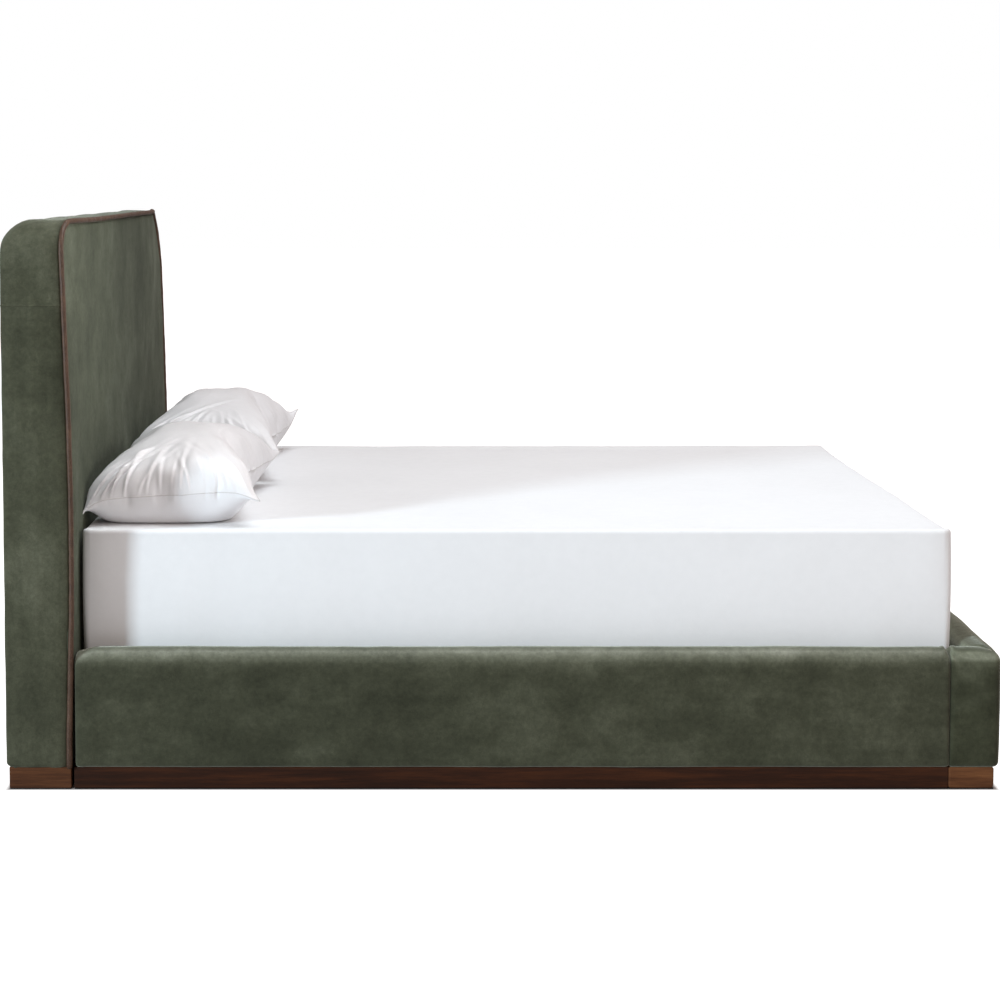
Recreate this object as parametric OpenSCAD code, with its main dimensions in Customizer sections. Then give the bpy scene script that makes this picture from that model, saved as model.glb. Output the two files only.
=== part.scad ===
// Upholstered platform bed with a piped headboard, a mattress and two pillows.
// X runs from the headboard (-X) to the foot (+X), Y across the bed, Z up from the floor.

/* [Mattress] */
// Length of the mattress
mattress_l = 2032; // [1900:1:2100]
// Width of the mattress
mattress_w = 1524; // [1370:1:1930]
// Height of the mattress
mattress_h = 307; // [200:1:360]

/* [Headboard] */
// Height of the headboard above the floor
headboard_h = 1312; // [1000:1:1400]
// Thickness of the headboard from its back to its front cover
headboard_t = 158; // [140:1:180]
// Radius of the headboard's top corners, seen from the front
headboard_corner_r = 80; // [50:1:120]
// Radius of the headboard's rear top edge, seen from the side
headboard_edge_r = 72; // [40:1:100]
// How far the headboard's rear side edges are cut back
headboard_side_cut = 10; // [4:1:20]
// Thickness of the foam behind the headboard's front cover
front_foam_t = 36; // [25:1:45]
// Diameter of the leather piping
piping_d = 9; // [6:0.5:12]

/* [Rails] */
// Thickness of the upholstered rails and footboard
rail_t = 72; // [66:1:90]
// Height of the rails' top above the floor
rail_h = 317; // [300:1:360]
// Radius of the rails' soft edges
rail_edge_r = 15; // [8:1:20]
// Radius of the footboard's corners, seen from above
foot_corner_r = 16; // [8:1:25]
// Clearance between the mattress and each side rail
side_gap = 18; // [10:1:40]
// Clearance between the mattress and the footboard
foot_gap = 22; // [10:1:40]
// Clearance between the mattress and the headboard's front cover
head_gap = 12; // [5:1:30]
// Length of the footboard's side returns, from the foot face to the seam
return_l = 117; // [105:1:160]

/* [Plinth] */
// Height of the plinth's top above the floor
plinth_h = 52; // [45:1:55]
// How far the plinth stands back from the upholstery
plinth_inset = 9; // [4:1:15]
// Thickness of the felt strips under the plinth
glide_h = 3; // [2:0.5:5]

/* [Slats] */
// Number of slats
slat_count = 13; // [9:1:16]
// Width of a slat
slat_w = 70; // [50:1:90]
// Thickness of a slat
slat_t = 18; // [12:1:22]

/* [Levelling feet] */
// Distance between the centre legs
leg_pitch = 620; // [450:1:700]
// Thread diameter of a levelling stud
stud_d = 10; // [8:1:12]

/* [Hidden] */

$fn = 64;
velvet = "#5d6052";
leather = "#50423a";
walnut = "#4e3020";
pine = "#d9bd8f";
plywood = "#caa878";
foam = "#efe6c8";
steel = "#4a4b4d";
zinc = "#b9bcc0";
linen = "#f4f4f5";

cover_t = 2;
outer_foam_t = 16;
inner_foam_t = 14;
board_t = rail_t - 2*cover_t - outer_foam_t - inner_foam_t;
wrap_t = 12;
back_board_t = 10;
front_board_t = 12;
seam_depth = 10;
fit_gap = 0.3;

bed_l = headboard_t + head_gap + mattress_l + foot_gap + rail_t;
bed_w = mattress_w + 2*(side_gap + rail_t);
back_x = -bed_l/2;
foot_x = bed_l/2;
face_x = back_x + headboard_t;
seam_x = face_x - seam_depth;
side_y = bed_w/2;
return_x = foot_x - return_l;
foot_inner_x = foot_x - rail_t;
rail_x = face_x + 2;
rail_board_x = rail_x + 4;

slat_z = 260;
mattress_x = face_x + head_gap;
mattress_z = slat_z + slat_t + fit_gap;
beam_w = 45;
beam_h = 70;
beam_z = slat_z - beam_h;
beam_gap = 4;
ledger_w = 35;
ledger_h = 40;

plinth_y = side_y - plinth_inset;
plinth_t = 30;
stile_w = 38;
frame_y = side_y - wrap_t;
frame_back_x = back_x + cover_t + back_board_t;
band_front_x = seam_x - piping_d/2 - 0.5;
board_front_x = face_x - cover_t - front_foam_t;
frame_front_x = board_front_x - front_board_t;
corner_z = headboard_h - headboard_corner_r;
foam_z = plinth_h + 10;

leg_w = 45;
insert_l = 22;
insert_r = stud_d/2 + 3;
stud_clear = 0.05;
pad_h = 8;
pad_r = 22;
leg_z = 32;
leg_x = [-leg_pitch, 0, leg_pitch];

// ---- shared shapes ----

// Box given by its lowest and highest corners.
module block(low, high) {
    translate(low) cube(high - low);
}

// Rectangle from the origin with its two upper corners rounded.
module arch(w, h, r) {
    square([w, h - r]);
    translate([r, 0]) square([w - 2*r, h]);
    translate([r, h - r]) circle(r);
    translate([w - r, h - r]) circle(r);
}

// Rectangle centred on the origin with four round corners.
module round_rect(w, h, r) {
    square([w - 2*r, h], center = true);
    square([w, h - 2*r], center = true);
    for (sx = [-1, 1], sy = [-1, 1])
        translate([sx*(w/2 - r), sy*(h/2 - r)]) circle(r);
}

// Extrudes a profile drawn in (Y, Z) along X, from x0 to x1.
module along_x(x0, x1) {
    translate([x0, 0, 0]) rotate([90, 0, 90]) linear_extrude(x1 - x0) children();
}

// Extrudes a profile drawn in (X, Z) along Y, from y0 to y1.
module along_y(y0, y1) {
    translate([0, y1, 0]) rotate([90, 0, 0]) linear_extrude(y1 - y0) children();
}

// Mirrored copy on the other side of the bed.
module both_sides() {
    children();
    mirror([0, 1, 0]) children();
}

// Round rod along X.
module rod_x(r, x0, x1) {
    translate([x0, 0, 0]) rotate([0, 90, 0]) cylinder(r = r, h = x1 - x0);
}

// Round rod along Y.
module rod_y(r, y0, y1) {
    translate([0, y0, 0]) rotate([-90, 0, 0]) cylinder(r = r, h = y1 - y0);
}

// ---- headboard ----

// Headboard seen from the front, drawn in (Y, Z), set in from the outer surface.
module headboard_outline(inset) {
    translate([-side_y + inset, plinth_h])
        arch(bed_w - 2*inset, headboard_h - inset - plinth_h, headboard_corner_r - inset);
}

// Headboard seen from the side, drawn in (X, Z), with the rear top edge rounded.
module headboard_profile(inset, front) {
    r = headboard_edge_r - inset;
    top = headboard_h - inset;
    x0 = back_x + inset;
    translate([x0, plinth_h]) square([front - x0, top - r - plinth_h]);
    translate([x0 + r, top - r]) circle(r);
    translate([x0 + r, plinth_h]) square([front - x0 - r, top - plinth_h]);
}

// Headboard seen from above, drawn in (X, Y), with the rear side edges cut off at 45 degrees.
module headboard_plan(inset, front) {
    cut = headboard_side_cut - inset*(2 - sqrt(2));
    x0 = back_x + inset;
    y = side_y - inset;
    polygon([[x0 + cut, -y], [front, -y], [front, y], [x0 + cut, y], [x0, y - cut], [x0, cut - y]]);
}

// Headboard block up to a front plane, set in from the outer surface.
module headboard_form(inset, front) {
    intersection() {
        along_x(back_x, front) headboard_outline(inset);
        along_y(-side_y, side_y) headboard_profile(inset, front);
        linear_extrude(headboard_h) headboard_plan(inset, front);
    }
}

// The part of a foam piece that stands clear of the plinth's top.
module above_plinth() {
    intersection() {
        children();
        block([back_x, -side_y, foam_z], [foot_x, side_y, headboard_h]);
    }
}

module headboard_stiles() {
    color(pine) both_sides()
        block([frame_back_x, frame_y - stile_w, plinth_h], [frame_front_x, frame_y, corner_z]);
}

module headboard_top_rail() {
    edge_y = side_y - headboard_corner_r;
    color(pine) intersection() {
        headboard_form(wrap_t, frame_front_x);
        block([back_x, -edge_y, corner_z - 20], [face_x, edge_y, headboard_h]);
    }
}

module headboard_bottom_rail() {
    color(pine) difference() {
        block([frame_back_x, -frame_y + stile_w, plinth_h],
              [frame_front_x, frame_y - stile_w, plinth_h + 140]);
        head_bolt_holes();
    }
}

module headboard_studs() {
    color(pine) for (y = [-frame_y/2, 0, frame_y/2])
        block([frame_back_x, y - stile_w/2, plinth_h + 140],
              [frame_front_x, y + stile_w/2, corner_z - 20]);
}

// Solid blocks that carry the round corners above the stiles.
module headboard_corner_blocks() {
    edge_y = side_y - headboard_corner_r;
    color(pine) both_sides() intersection() {
        headboard_form(wrap_t, frame_front_x);
        block([back_x, edge_y, corner_z], [face_x, side_y, headboard_h]);
    }
}

module headboard_front_board() {
    color(plywood) difference() {
        along_x(frame_front_x, board_front_x) headboard_outline(wrap_t);
        head_bolt_holes();
    }
}

module headboard_back_board() {
    y = frame_y - headboard_side_cut;
    color(plywood) block([back_x + cover_t, -y, plinth_h],
                         [frame_back_x, y, headboard_h - headboard_edge_r - 8]);
}

module headboard_side_foam() {
    color(foam) both_sides() intersection() {
        headboard_form(cover_t, band_front_x);
        block([back_x, frame_y, foam_z], [face_x, side_y, corner_z]);
    }
}

module headboard_top_foam() {
    color(foam) difference() {
        headboard_form(cover_t, band_front_x);
        headboard_form(wrap_t, band_front_x);
        block([back_x, -side_y, plinth_h], [face_x, side_y, corner_z]);
    }
}

module headboard_front_foam() {
    color(foam) above_plinth() difference() {
        union() {
            along_x(board_front_x, face_x - cover_t) headboard_outline(wrap_t);
            along_x(seam_x + piping_d/2, face_x - cover_t) headboard_outline(cover_t);
        }
        head_bolt_holes();
    }
}

// Velvet round the sides, the top and the rear edges, open where the back cover lies.
module headboard_band_cover() {
    color(velvet) difference() {
        headboard_form(0, band_front_x);
        headboard_form(cover_t, band_front_x + 1);
        block([back_x - 1, -side_y - 1, 0], [face_x, side_y + 1, plinth_h]);
        back_window(1);
    }
}

// Flat part of the headboard's back, drawn to the given depth.
module back_window(past) {
    edge = 40;
    block([back_x - past, -side_y + edge, plinth_h - past],
          [back_x + cover_t, side_y - edge, headboard_h - headboard_edge_r - edge]);
}

module headboard_back_cover() {
    color(velvet) intersection() {
        back_window(0);
        block([back_x, -side_y, plinth_h], [face_x, side_y, headboard_h]);
    }
}

module headboard_front_cover() {
    color(velvet) difference() {
        along_x(seam_x + piping_d/2, face_x) headboard_outline(0);
        along_x(seam_x, face_x - cover_t) headboard_outline(cover_t);
        head_bolt_holes();
    }
}

// Leather piping up one side, over the top and down the other side.
module headboard_piping() {
    inset = 3;
    r = piping_d/2;
    bend = headboard_corner_r - inset;
    y = side_y - inset;
    color(leather) {
        both_sides() {
            translate([seam_x, y, plinth_h]) cylinder(r = r, h = corner_z - plinth_h);
            translate([seam_x, y - bend, corner_z]) rotate([90, 0, 90])
                rotate_extrude(angle = 90) translate([bend, 0]) circle(r);
        }
        translate([seam_x, 0, corner_z + bend]) rod_y(r, bend - y, y - bend);
    }
}

module headboard_plinth_ends() {
    color(walnut) both_sides()
        block([back_x + 7, plinth_y - plinth_t, glide_h], [seam_x + 2, plinth_y, plinth_h]);
}

module headboard_plinth_boards() {
    y = plinth_y - plinth_t;
    color(walnut) for (x = [back_x + 7, seam_x + 2 - plinth_t])
        block([x, -y, glide_h], [x + plinth_t, y, plinth_h]);
}

// ---- side rails ----

// Cross-section of a rail in (Y, Z), set in from the outer surface.
module rail_profile(inset) {
    translate([side_y - rail_t + inset, plinth_h])
        arch(rail_t - 2*inset, rail_h - inset - plinth_h, rail_edge_r - inset);
}

// Structural board inside a rail, in (Y, Z).
module rail_board_profile() {
    translate([side_y - rail_t + cover_t + inner_foam_t, plinth_h])
        square([board_t, rail_h - cover_t - 12 - plinth_h]);
}

module rail_board() {
    color(pine) difference() {
        along_x(rail_board_x, return_x) rail_board_profile();
        rail_screw_holes();
    }
}

module rail_foam() {
    color(foam) above_plinth() difference() {
        along_x(rail_board_x, return_x) difference() {
            rail_profile(cover_t);
            rail_board_profile();
        }
        rail_screw_holes();
    }
}

// Velvet over a rail, closed at the headboard's end.
module rail_cover() {
    color(velvet) difference() {
        along_x(rail_x, return_x) rail_profile(0);
        along_x(rail_board_x, return_x + 1) rail_profile(cover_t);
        rail_screw_holes();
    }
}

module rail_plinth() {
    color(walnut) block([face_x - 1, plinth_y - plinth_t, glide_h],
                        [return_x, plinth_y, plinth_h]);
}

module slat_ledger() {
    y1 = side_y - rail_t;
    color(pine) difference() {
        block([mattress_x, y1 - ledger_w, slat_z - ledger_h], [foot_inner_x - 50, y1, slat_z]);
        rail_screw_holes();
        slat_screw_holes();
    }
}

module left_side() {
    children();
}

module right_side() {
    mirror([0, 1, 0]) children();
}

// ---- footboard ----

// Cross-section of the footboard in (X, Z), set in from the outer surface.
module footboard_profile(inset) {
    translate([foot_inner_x + inset, plinth_h])
        arch(rail_t - 2*inset, rail_h - inset - plinth_h, rail_edge_r - inset);
}

// Half-space beyond the mitre line at one corner of the footboard.
module mitre_cut() {
    size = 2*rail_t;
    translate([foot_x, side_y, 0]) rotate([0, 0, 45])
        translate([-size, 0, 0]) cube([2*size, size, headboard_h]);
}

// Foot of the bed seen from above, with its two corners rounded.
module foot_plan(inset) {
    r = foot_corner_r - inset;
    y = side_y - inset;
    linear_extrude(rail_h) {
        translate([return_x, -y]) square([return_l - inset - r, 2*y]);
        translate([return_x, r - y]) square([return_l - inset, 2*(y - r)]);
        for (side = [-1, 1]) translate([foot_x - inset - r, side*(y - r)]) circle(r);
    }
}

module footboard_end(inset) {
    intersection() {
        difference() {
            along_y(-side_y, side_y) footboard_profile(inset);
            both_sides() mitre_cut();
        }
        foot_plan(inset);
    }
}

module footboard_return(inset) {
    intersection() {
        along_x(return_x, foot_x) rail_profile(inset);
        mitre_cut();
        foot_plan(inset);
    }
}

module footboard_board() {
    y = side_y - cover_t - outer_foam_t;
    color(pine) block([foot_x - cover_t - outer_foam_t - board_t, -y, plinth_h],
                      [foot_x - cover_t - outer_foam_t, y, rail_h - cover_t - 12]);
}

module footboard_return_board() {
    along_x(return_x, foot_x - cover_t - outer_foam_t - board_t) rail_board_profile();
}

module footboard_return_boards() {
    color(pine) both_sides() difference() {
        footboard_return_board();
        rail_screw_holes();
    }
}

module footboard_foam() {
    color(foam) above_plinth() difference() {
        footboard_end(cover_t);
        footboard_board();
        both_sides() footboard_return_board();
    }
}

module footboard_return_foam() {
    color(foam) both_sides() above_plinth() difference() {
        footboard_return(cover_t);
        footboard_board();
        footboard_return_board();
        rail_screw_holes();
    }
}

module footboard_cover() {
    color(velvet) difference() {
        union() {
            footboard_end(0);
            both_sides() footboard_return(0);
        }
        footboard_end(cover_t);
        both_sides() {
            footboard_return(cover_t);
            rail_screw_holes();
        }
    }
}

module footboard_plinth_board() {
    y = plinth_y - plinth_t;
    color(walnut) block([foot_x - 11 - plinth_t, -y, glide_h], [foot_x - 11, y, plinth_h]);
}

module footboard_plinth_ends() {
    color(walnut) both_sides()
        block([return_x, plinth_y - plinth_t, glide_h], [foot_x - 11, plinth_y, plinth_h]);
}

// ---- fastenings ----

bracket_t = 4;
bracket_leg = 60;
bracket_h = 90;
bracket_z = 90;
bolt_r = 4;
bracket_y = side_y - rail_t;
bolt_z = [bracket_z + 20, bracket_z + 70];
bolt_y = bracket_y - 34;

// Steel angles that bolt each side rail to the headboard.
module head_brackets() {
    color(steel) both_sides() difference() {
        union() {
            block([face_x, bracket_y - bracket_leg, bracket_z],
                  [face_x + bracket_t, bracket_y, bracket_z + bracket_h]);
            block([face_x, bracket_y - bracket_t, bracket_z],
                  [face_x + bracket_leg + 20, bracket_y, bracket_z + bracket_h]);
        }
        for (z = bolt_z) {
            translate([0, bolt_y, z]) rod_x(bolt_r + fit_gap, face_x - 1, face_x + bracket_t + 1);
        }
        bracket_screw_points() rod_y(2.5, bracket_y - 10, bracket_y + 1);
    }
}

// Bolts with hexagon heads, from the angles into the headboard's bottom rail.
module head_bolts() {
    color(zinc) both_sides() for (z = bolt_z) translate([0, bolt_y, z]) {
        rod_x(bolt_r, board_front_x - front_board_t - 8, face_x + bracket_t);
        translate([face_x + bracket_t, 0, 0]) rotate([0, 90, 0])
            cylinder(d = 14, h = 5, $fn = 6);
    }
}

// Flanged nuts behind the headboard's front board.
module head_nuts() {
    color(zinc) both_sides() for (z = bolt_z) translate([0, bolt_y, z]) difference() {
        union() {
            rod_x(11, frame_front_x - 2, frame_front_x);
            rod_x(6, frame_front_x - 14, frame_front_x);
        }
        rod_x(bolt_r, frame_front_x - 15, frame_front_x + 1);
    }
}

// Space that the bolts and nuts take out of the headboard's inner pieces.
module head_bolt_holes() {
    both_sides() for (z = bolt_z) translate([0, bolt_y, z]) {
        rod_x(bolt_r + fit_gap, frame_front_x - 1, face_x + 1);
        rod_x(11 + fit_gap, frame_front_x - 14 - fit_gap, frame_front_x);
    }
}

// Splice plates that join each rail to the footboard's returns.
module foot_splice_plates() {
    color(steel) both_sides() difference() {
        block([return_x - 60, bracket_y - bracket_t, bracket_z],
              [foot_inner_x - 1, bracket_y, bracket_z + bracket_h]);
        bracket_screw_points() rod_y(2.5, bracket_y - bracket_t - 1, bracket_y + 1);
    }
}

// Places of the screws that fix the angles and the splice plates to the rails.
module bracket_screw_points() {
    for (x = [face_x + 50, return_x - 45, return_x - 15, return_x + 12, return_x + 34],
         z = bolt_z)
        translate([x, 0, z]) children();
}

// Wood screw along Y, with a pan head on the inner side.
module rail_screw(y_head, length) {
    rod_y(2.2, y_head, y_head + length);
    rod_y(4.5, y_head - 2, y_head);
}

module bracket_screws() {
    color(zinc) both_sides() bracket_screw_points()
        rail_screw(bracket_y - bracket_t, bracket_t + cover_t + inner_foam_t + 20);
}

ledger_x = [for (i = [0:6]) mattress_x + 150 + i*290];

module ledger_screws() {
    color(zinc) both_sides() for (x = ledger_x) translate([x, 0, slat_z - 20])
        rail_screw(bracket_y - ledger_w, ledger_w + cover_t + inner_foam_t + 20);
}

// Space that the ledger and splice screws take out of what they pass through.
module rail_screw_holes() {
    for (x = ledger_x) translate([x, 0, slat_z - 20])
        rod_y(2.5, bracket_y - ledger_w - 1,
              bracket_y + cover_t + inner_foam_t + 20 + fit_gap);
    bracket_screw_points()
        rod_y(2.5, bracket_y - 1, bracket_y + cover_t + inner_foam_t + 20 + fit_gap);
}

// ---- centre support ----

module centre_beam() {
    color(pine) block([face_x + beam_gap, -beam_w/2, beam_z],
                      [foot_inner_x - beam_gap, beam_w/2, slat_z]);
}

// Steel saddles that hold the beam's ends.
module beam_hangers() {
    t = 3;
    reach = 60;
    color(steel) for (end = [[face_x, 0], [foot_inner_x, 1]])
        translate([end[0], 0, 0]) mirror([end[1], 0, 0]) difference() {
            block([0, -beam_w/2 - t, beam_z - t], [reach, beam_w/2 + t, slat_z - 10]);
            block([beam_gap, -beam_w/2, beam_z], [reach + 1, beam_w/2, slat_z]);
        }
}

module centre_leg(i) {
    color(pine) translate([leg_x[i], 0, 0]) difference() {
        block([-leg_w/2, -leg_w/2, leg_z], [leg_w/2, leg_w/2, beam_z - 3]);
        translate([0, 0, leg_z - 1]) cylinder(r = insert_r, h = insert_l + 1);
        translate([0, 0, leg_z]) cylinder(r = stud_d/2 + 1, h = 60);
    }
}

module leg_top_plates() {
    color(steel) for (x = leg_x) translate([x, 0, beam_z - 3]) difference() {
        translate([-50, -beam_w/2, 0]) cube([100, beam_w, 3]);
        for (s = [-1, 1]) translate([s*38, 0, -1]) cylinder(r = 2.5, h = 5);
    }
}

// Threaded inserts pressed into the legs' lower ends.
module leg_inserts() {
    color(zinc) for (x = leg_x) translate([x, 0, leg_z]) difference() {
        cylinder(r = insert_r, h = insert_l);
        translate([0, 0, -1]) cylinder(r = stud_d/2 + stud_clear, h = insert_l + 2);
    }
}

// Round foot with a socket for the stud's lower end.
module level_pad(i) {
    color("#26272a") translate([leg_x[i], 0, 0]) difference() {
        union() {
            cylinder(r = pad_r, h = 5);
            cylinder(r = 13, h = pad_h);
        }
        translate([0, 0, 3]) cylinder(r = stud_d/2 + stud_clear, h = pad_h);
    }
}

// Threaded stud with the hexagon that a spanner turns.
module level_stud(i) {
    color(zinc) translate([leg_x[i], 0, 0]) {
        translate([0, 0, 3.3]) cylinder(d = stud_d, h = 62);
        translate([0, 0, pad_h + fit_gap]) cylinder(d = 19.6, h = 7, $fn = 6);
    }
}

// ---- slats ----

slat_pitch = (mattress_l - 150 - slat_w)/(slat_count - 1);
slat_x0 = mattress_x + 60;
slat_half = side_y - rail_t - 3;

module slats() {
    color(pine) for (i = [0:slat_count - 1]) translate([slat_x0 + i*slat_pitch, 0, slat_z])
        difference() {
            translate([0, -slat_half, 0]) cube([slat_w, 2*slat_half, slat_t]);
            if (i == 0 || i == slat_count - 1) both_sides()
                translate([slat_w/2, slat_half - 16, -1]) cylinder(r = 2.5, h = slat_t + 2);
        }
}

// Webbing under the slats that keeps them evenly spaced.
module slat_straps() {
    color("#2f3033") both_sides()
        block([slat_x0, 360, slat_z - 1.5],
              [slat_x0 + slat_w + (slat_count - 1)*slat_pitch, 390, slat_z]);
}

module slat_screw_points() {
    for (i = [0, slat_count - 1])
        translate([slat_x0 + i*slat_pitch + slat_w/2, slat_half - 16, slat_z]) children();
}

// Countersunk screws that fix the first and last slats to the ledgers.
module slat_screws() {
    color(zinc) both_sides() slat_screw_points()
        translate([0, 0, -25]) cylinder(r = 2.2, h = 25 + slat_t - 0.5);
}

module slat_screw_holes() {
    slat_screw_points() translate([0, 0, -25 - fit_gap]) cylinder(r = 2.5, h = 26);
}

// ---- glides ----

// Felt strips glued along the underside of every plinth piece.
module felt_glides() {
    edge = 1;
    gap = 2;
    y0 = plinth_y - plinth_t;
    y1 = plinth_y - edge;
    color("#2a2522") {
        both_sides() {
            block([back_x + 7 + edge, y0, 0], [seam_x + 2 - edge, y1, glide_h]);
            block([face_x, y0, 0], [return_x - edge, y1, glide_h]);
            block([return_x + edge, y0, 0], [foot_x - 11 - edge, y1, glide_h]);
        }
        for (x = [back_x + 7 + edge, seam_x + 2 - plinth_t, foot_x - 11 - plinth_t])
            block([x, gap - y0, 0], [x + plinth_t - edge, y0 - gap, glide_h]);
    }
}

// ---- soft goods ----

module mattress() {
    corner_r = 26;
    edge_r = 22;
    x1 = mattress_x + mattress_l/2;
    color(linen) translate([x1, 0, mattress_z + mattress_h/2]) intersection() {
        translate([0, 0, -mattress_h/2]) linear_extrude(mattress_h)
            round_rect(mattress_l, mattress_w, corner_r);
        rotate([90, 0, 90]) linear_extrude(mattress_l, center = true)
            round_rect(mattress_w, mattress_h, edge_r);
        rotate([90, 0, 0]) linear_extrude(mattress_w, center = true)
            round_rect(mattress_l, mattress_h, edge_r);
    }
}

pillow_l = 690;
pillow_w = 410;
pillow_h = 204;
pillow_seam_z = 76;
pillow_y = 356;

// Thin slab with round corners, one layer of a pillow.
module pillow_layer(w, l, z, r) {
    translate([0, 0, z]) for (sx = [-1, 1], sy = [-1, 1])
        translate([sx*(w/2 - r), sy*(l/2 - r), 0]) cylinder(r = r, h = 4, $fn = 28);
}

module pillow(y) {
    z = mattress_z + mattress_h + 2*fit_gap;
    color(linen) translate([face_x + 4 + pillow_w/2, y, z]) hull() {
        pillow_layer(pillow_w - 90, pillow_l - 110, 0, 60);
        pillow_layer(pillow_w, pillow_l, pillow_seam_z, 30);
        pillow_layer(pillow_w - 60, pillow_l - 130, pillow_h - 60, 80);
        pillow_layer(pillow_w - 210, pillow_l - 330, pillow_h - 4, 70);
    }
}

// ---- drawing ----

headboard_stiles();
headboard_top_rail();
headboard_bottom_rail();
headboard_studs();
headboard_corner_blocks();
headboard_front_board();
headboard_back_board();
headboard_side_foam();
headboard_top_foam();
headboard_front_foam();
headboard_band_cover();
headboard_front_cover();
headboard_back_cover();
headboard_piping();
headboard_plinth_ends();
headboard_plinth_boards();
left_side() rail_board();  // left_rail_board
left_side() rail_foam();  // left_rail_foam
left_side() rail_cover();  // left_rail_cover
left_side() rail_plinth();  // left_rail_plinth
left_side() slat_ledger();  // left_slat_ledger
right_side() rail_board();  // right_rail_board
right_side() rail_foam();  // right_rail_foam
right_side() rail_cover();  // right_rail_cover
right_side() rail_plinth();  // right_rail_plinth
right_side() slat_ledger();  // right_slat_ledger
footboard_board();
footboard_return_boards();
footboard_foam();
footboard_return_foam();
footboard_cover();
footboard_plinth_board();
footboard_plinth_ends();
ledger_screws();
head_brackets();
head_bolts();
head_nuts();
foot_splice_plates();
bracket_screws();
centre_beam();
beam_hangers();
centre_leg(0);  // centre_leg_1
centre_leg(1);  // centre_leg_2
centre_leg(2);  // centre_leg_3
leg_top_plates();
leg_inserts();
level_pad(0);  // level_pad_1
level_pad(1);  // level_pad_2
level_pad(2);  // level_pad_3
level_stud(0);  // level_stud_1
level_stud(1);  // level_stud_2
level_stud(2);  // level_stud_3
slats();
slat_straps();
slat_screws();
felt_glides();
mattress();
pillow(-pillow_y);  // near_pillow
pillow(pillow_y);  // far_pillow
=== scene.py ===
"""Upholstered bed: velvet headboard with leather piping, velvet rails on a plinth, mattress and two pillows."""

import math

import bmesh
import bpy
import numpy as np
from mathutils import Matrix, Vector


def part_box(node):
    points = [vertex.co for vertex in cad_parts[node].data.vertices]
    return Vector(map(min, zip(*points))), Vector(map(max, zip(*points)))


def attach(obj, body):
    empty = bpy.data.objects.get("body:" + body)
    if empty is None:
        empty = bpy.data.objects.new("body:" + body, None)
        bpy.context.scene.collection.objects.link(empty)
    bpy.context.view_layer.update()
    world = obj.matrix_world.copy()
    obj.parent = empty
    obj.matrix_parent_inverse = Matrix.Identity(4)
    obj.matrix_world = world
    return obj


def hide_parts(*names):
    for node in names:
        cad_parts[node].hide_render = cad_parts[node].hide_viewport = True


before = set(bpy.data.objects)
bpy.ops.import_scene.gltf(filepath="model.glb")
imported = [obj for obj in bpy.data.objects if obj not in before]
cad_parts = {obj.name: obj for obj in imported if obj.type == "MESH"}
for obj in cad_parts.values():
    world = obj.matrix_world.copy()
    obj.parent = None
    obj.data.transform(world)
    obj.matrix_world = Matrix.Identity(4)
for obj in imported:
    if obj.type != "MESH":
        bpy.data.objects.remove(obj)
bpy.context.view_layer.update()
X, Y, Z = 0, 1, 2


def low(node, axis):
    """Where a CAD node begins along an axis."""
    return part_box(node)[0][axis]


def high(node, axis):
    """Where a CAD node ends along an axis."""
    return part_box(node)[1][axis]


# Places taken from the CAD frame, in metres.
BACK = low("headboard_band_cover", X)
SIDE = high("headboard_band_cover", Y)
TOP = high("headboard_band_cover", Z)
PLINTH_TOP = low("headboard_band_cover", Z)
RAIL_TOP = high("left_rail_cover", Z)
RAIL_X = low("left_rail_cover", X)
RETURN_X = high("left_rail_cover", X)
FOOT = high("footboard_cover", X)
RAIL_T = high("left_rail_cover", Y) - low("left_rail_cover", Y)
# Sizes of the soft shapes, in metres.
CORNER = 0.080  # top corners of the headboard, seen from the front
CORNER_Z = TOP - CORNER
HALF_TOP = SIDE - CORNER
ARC = CORNER * math.pi / 2
HALF_LENGTH = HALF_TOP + ARC + CORNER_Z - PLINTH_TOP
EDGE_R = 0.067  # rear top edge of the headboard
SIDE_R = 0.008  # rear side edges of the headboard
UNDER_R = 0.012  # lower edges of the headboard
CROSS_SEAM_Z = 1.1205
CROSS_SEAM_S = HALF_TOP + ARC + CORNER_Z - CROSS_SEAM_Z
SEAM_TUCK, SEAM_TUCK_REACH = 0.0095, 0.0065  # how the velvet turns in at the front seam
FRONT_CROWN = 0.0055
FRONT_LIMIT = 0.1575  # from the back, so that the mattress and pillows clear the front when lifted
PIPING_R = 0.0060
RAIL_R = 0.030
FOOT_R = 0.018
FACE_CROWN, TOP_CROWN, FOOT_FULLNESS = 0.0024, 0.0110, 0.010
FABRIC = 0.002
# Steps in from a velvet's sewn end, and how far it is drawn in at each.
END_GAP = 0.0008
END_STEPS = np.array([0.0, 0.0003, 0.0012, 0.0028, 0.005, 0.008, 0.012])
END_INSETS = np.array([0.0042, 0.0031, 0.0019, 0.0010, 0.0004, 0.0001, 0.0])


# ---------- numbers ----------


def smooth(a, b, x):
    """0 below a, 1 above b, and an even S-shaped rise between them."""
    t = np.clip((x - a) / (b - a), 0, 1)
    return t * t * (3 - 2 * t)


def waves(p, size, seed, count=14, stretch=(1, 1, 1)):
    """Smooth unevenness of about unit height, with bumps of about that size in metres."""
    rng = np.random.default_rng(seed)
    total = np.zeros(p.shape[:-1])
    for _ in range(count):
        d = rng.normal(size=3)
        d *= 2 * math.pi / (size * rng.uniform(0.7, 1.5) * np.linalg.norm(d))
        total += np.sin((p * np.array(stretch)) @ d + rng.uniform(0, 2 * math.pi))
    return total / math.sqrt(count / 2)


def bell(x):
    return np.exp(-x ** 2)


def spaced(a, b, step):
    """Even values from a to b, about a step apart."""
    return np.linspace(a, b, max(2, int(round(abs(b - a) / step)) + 1))


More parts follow.
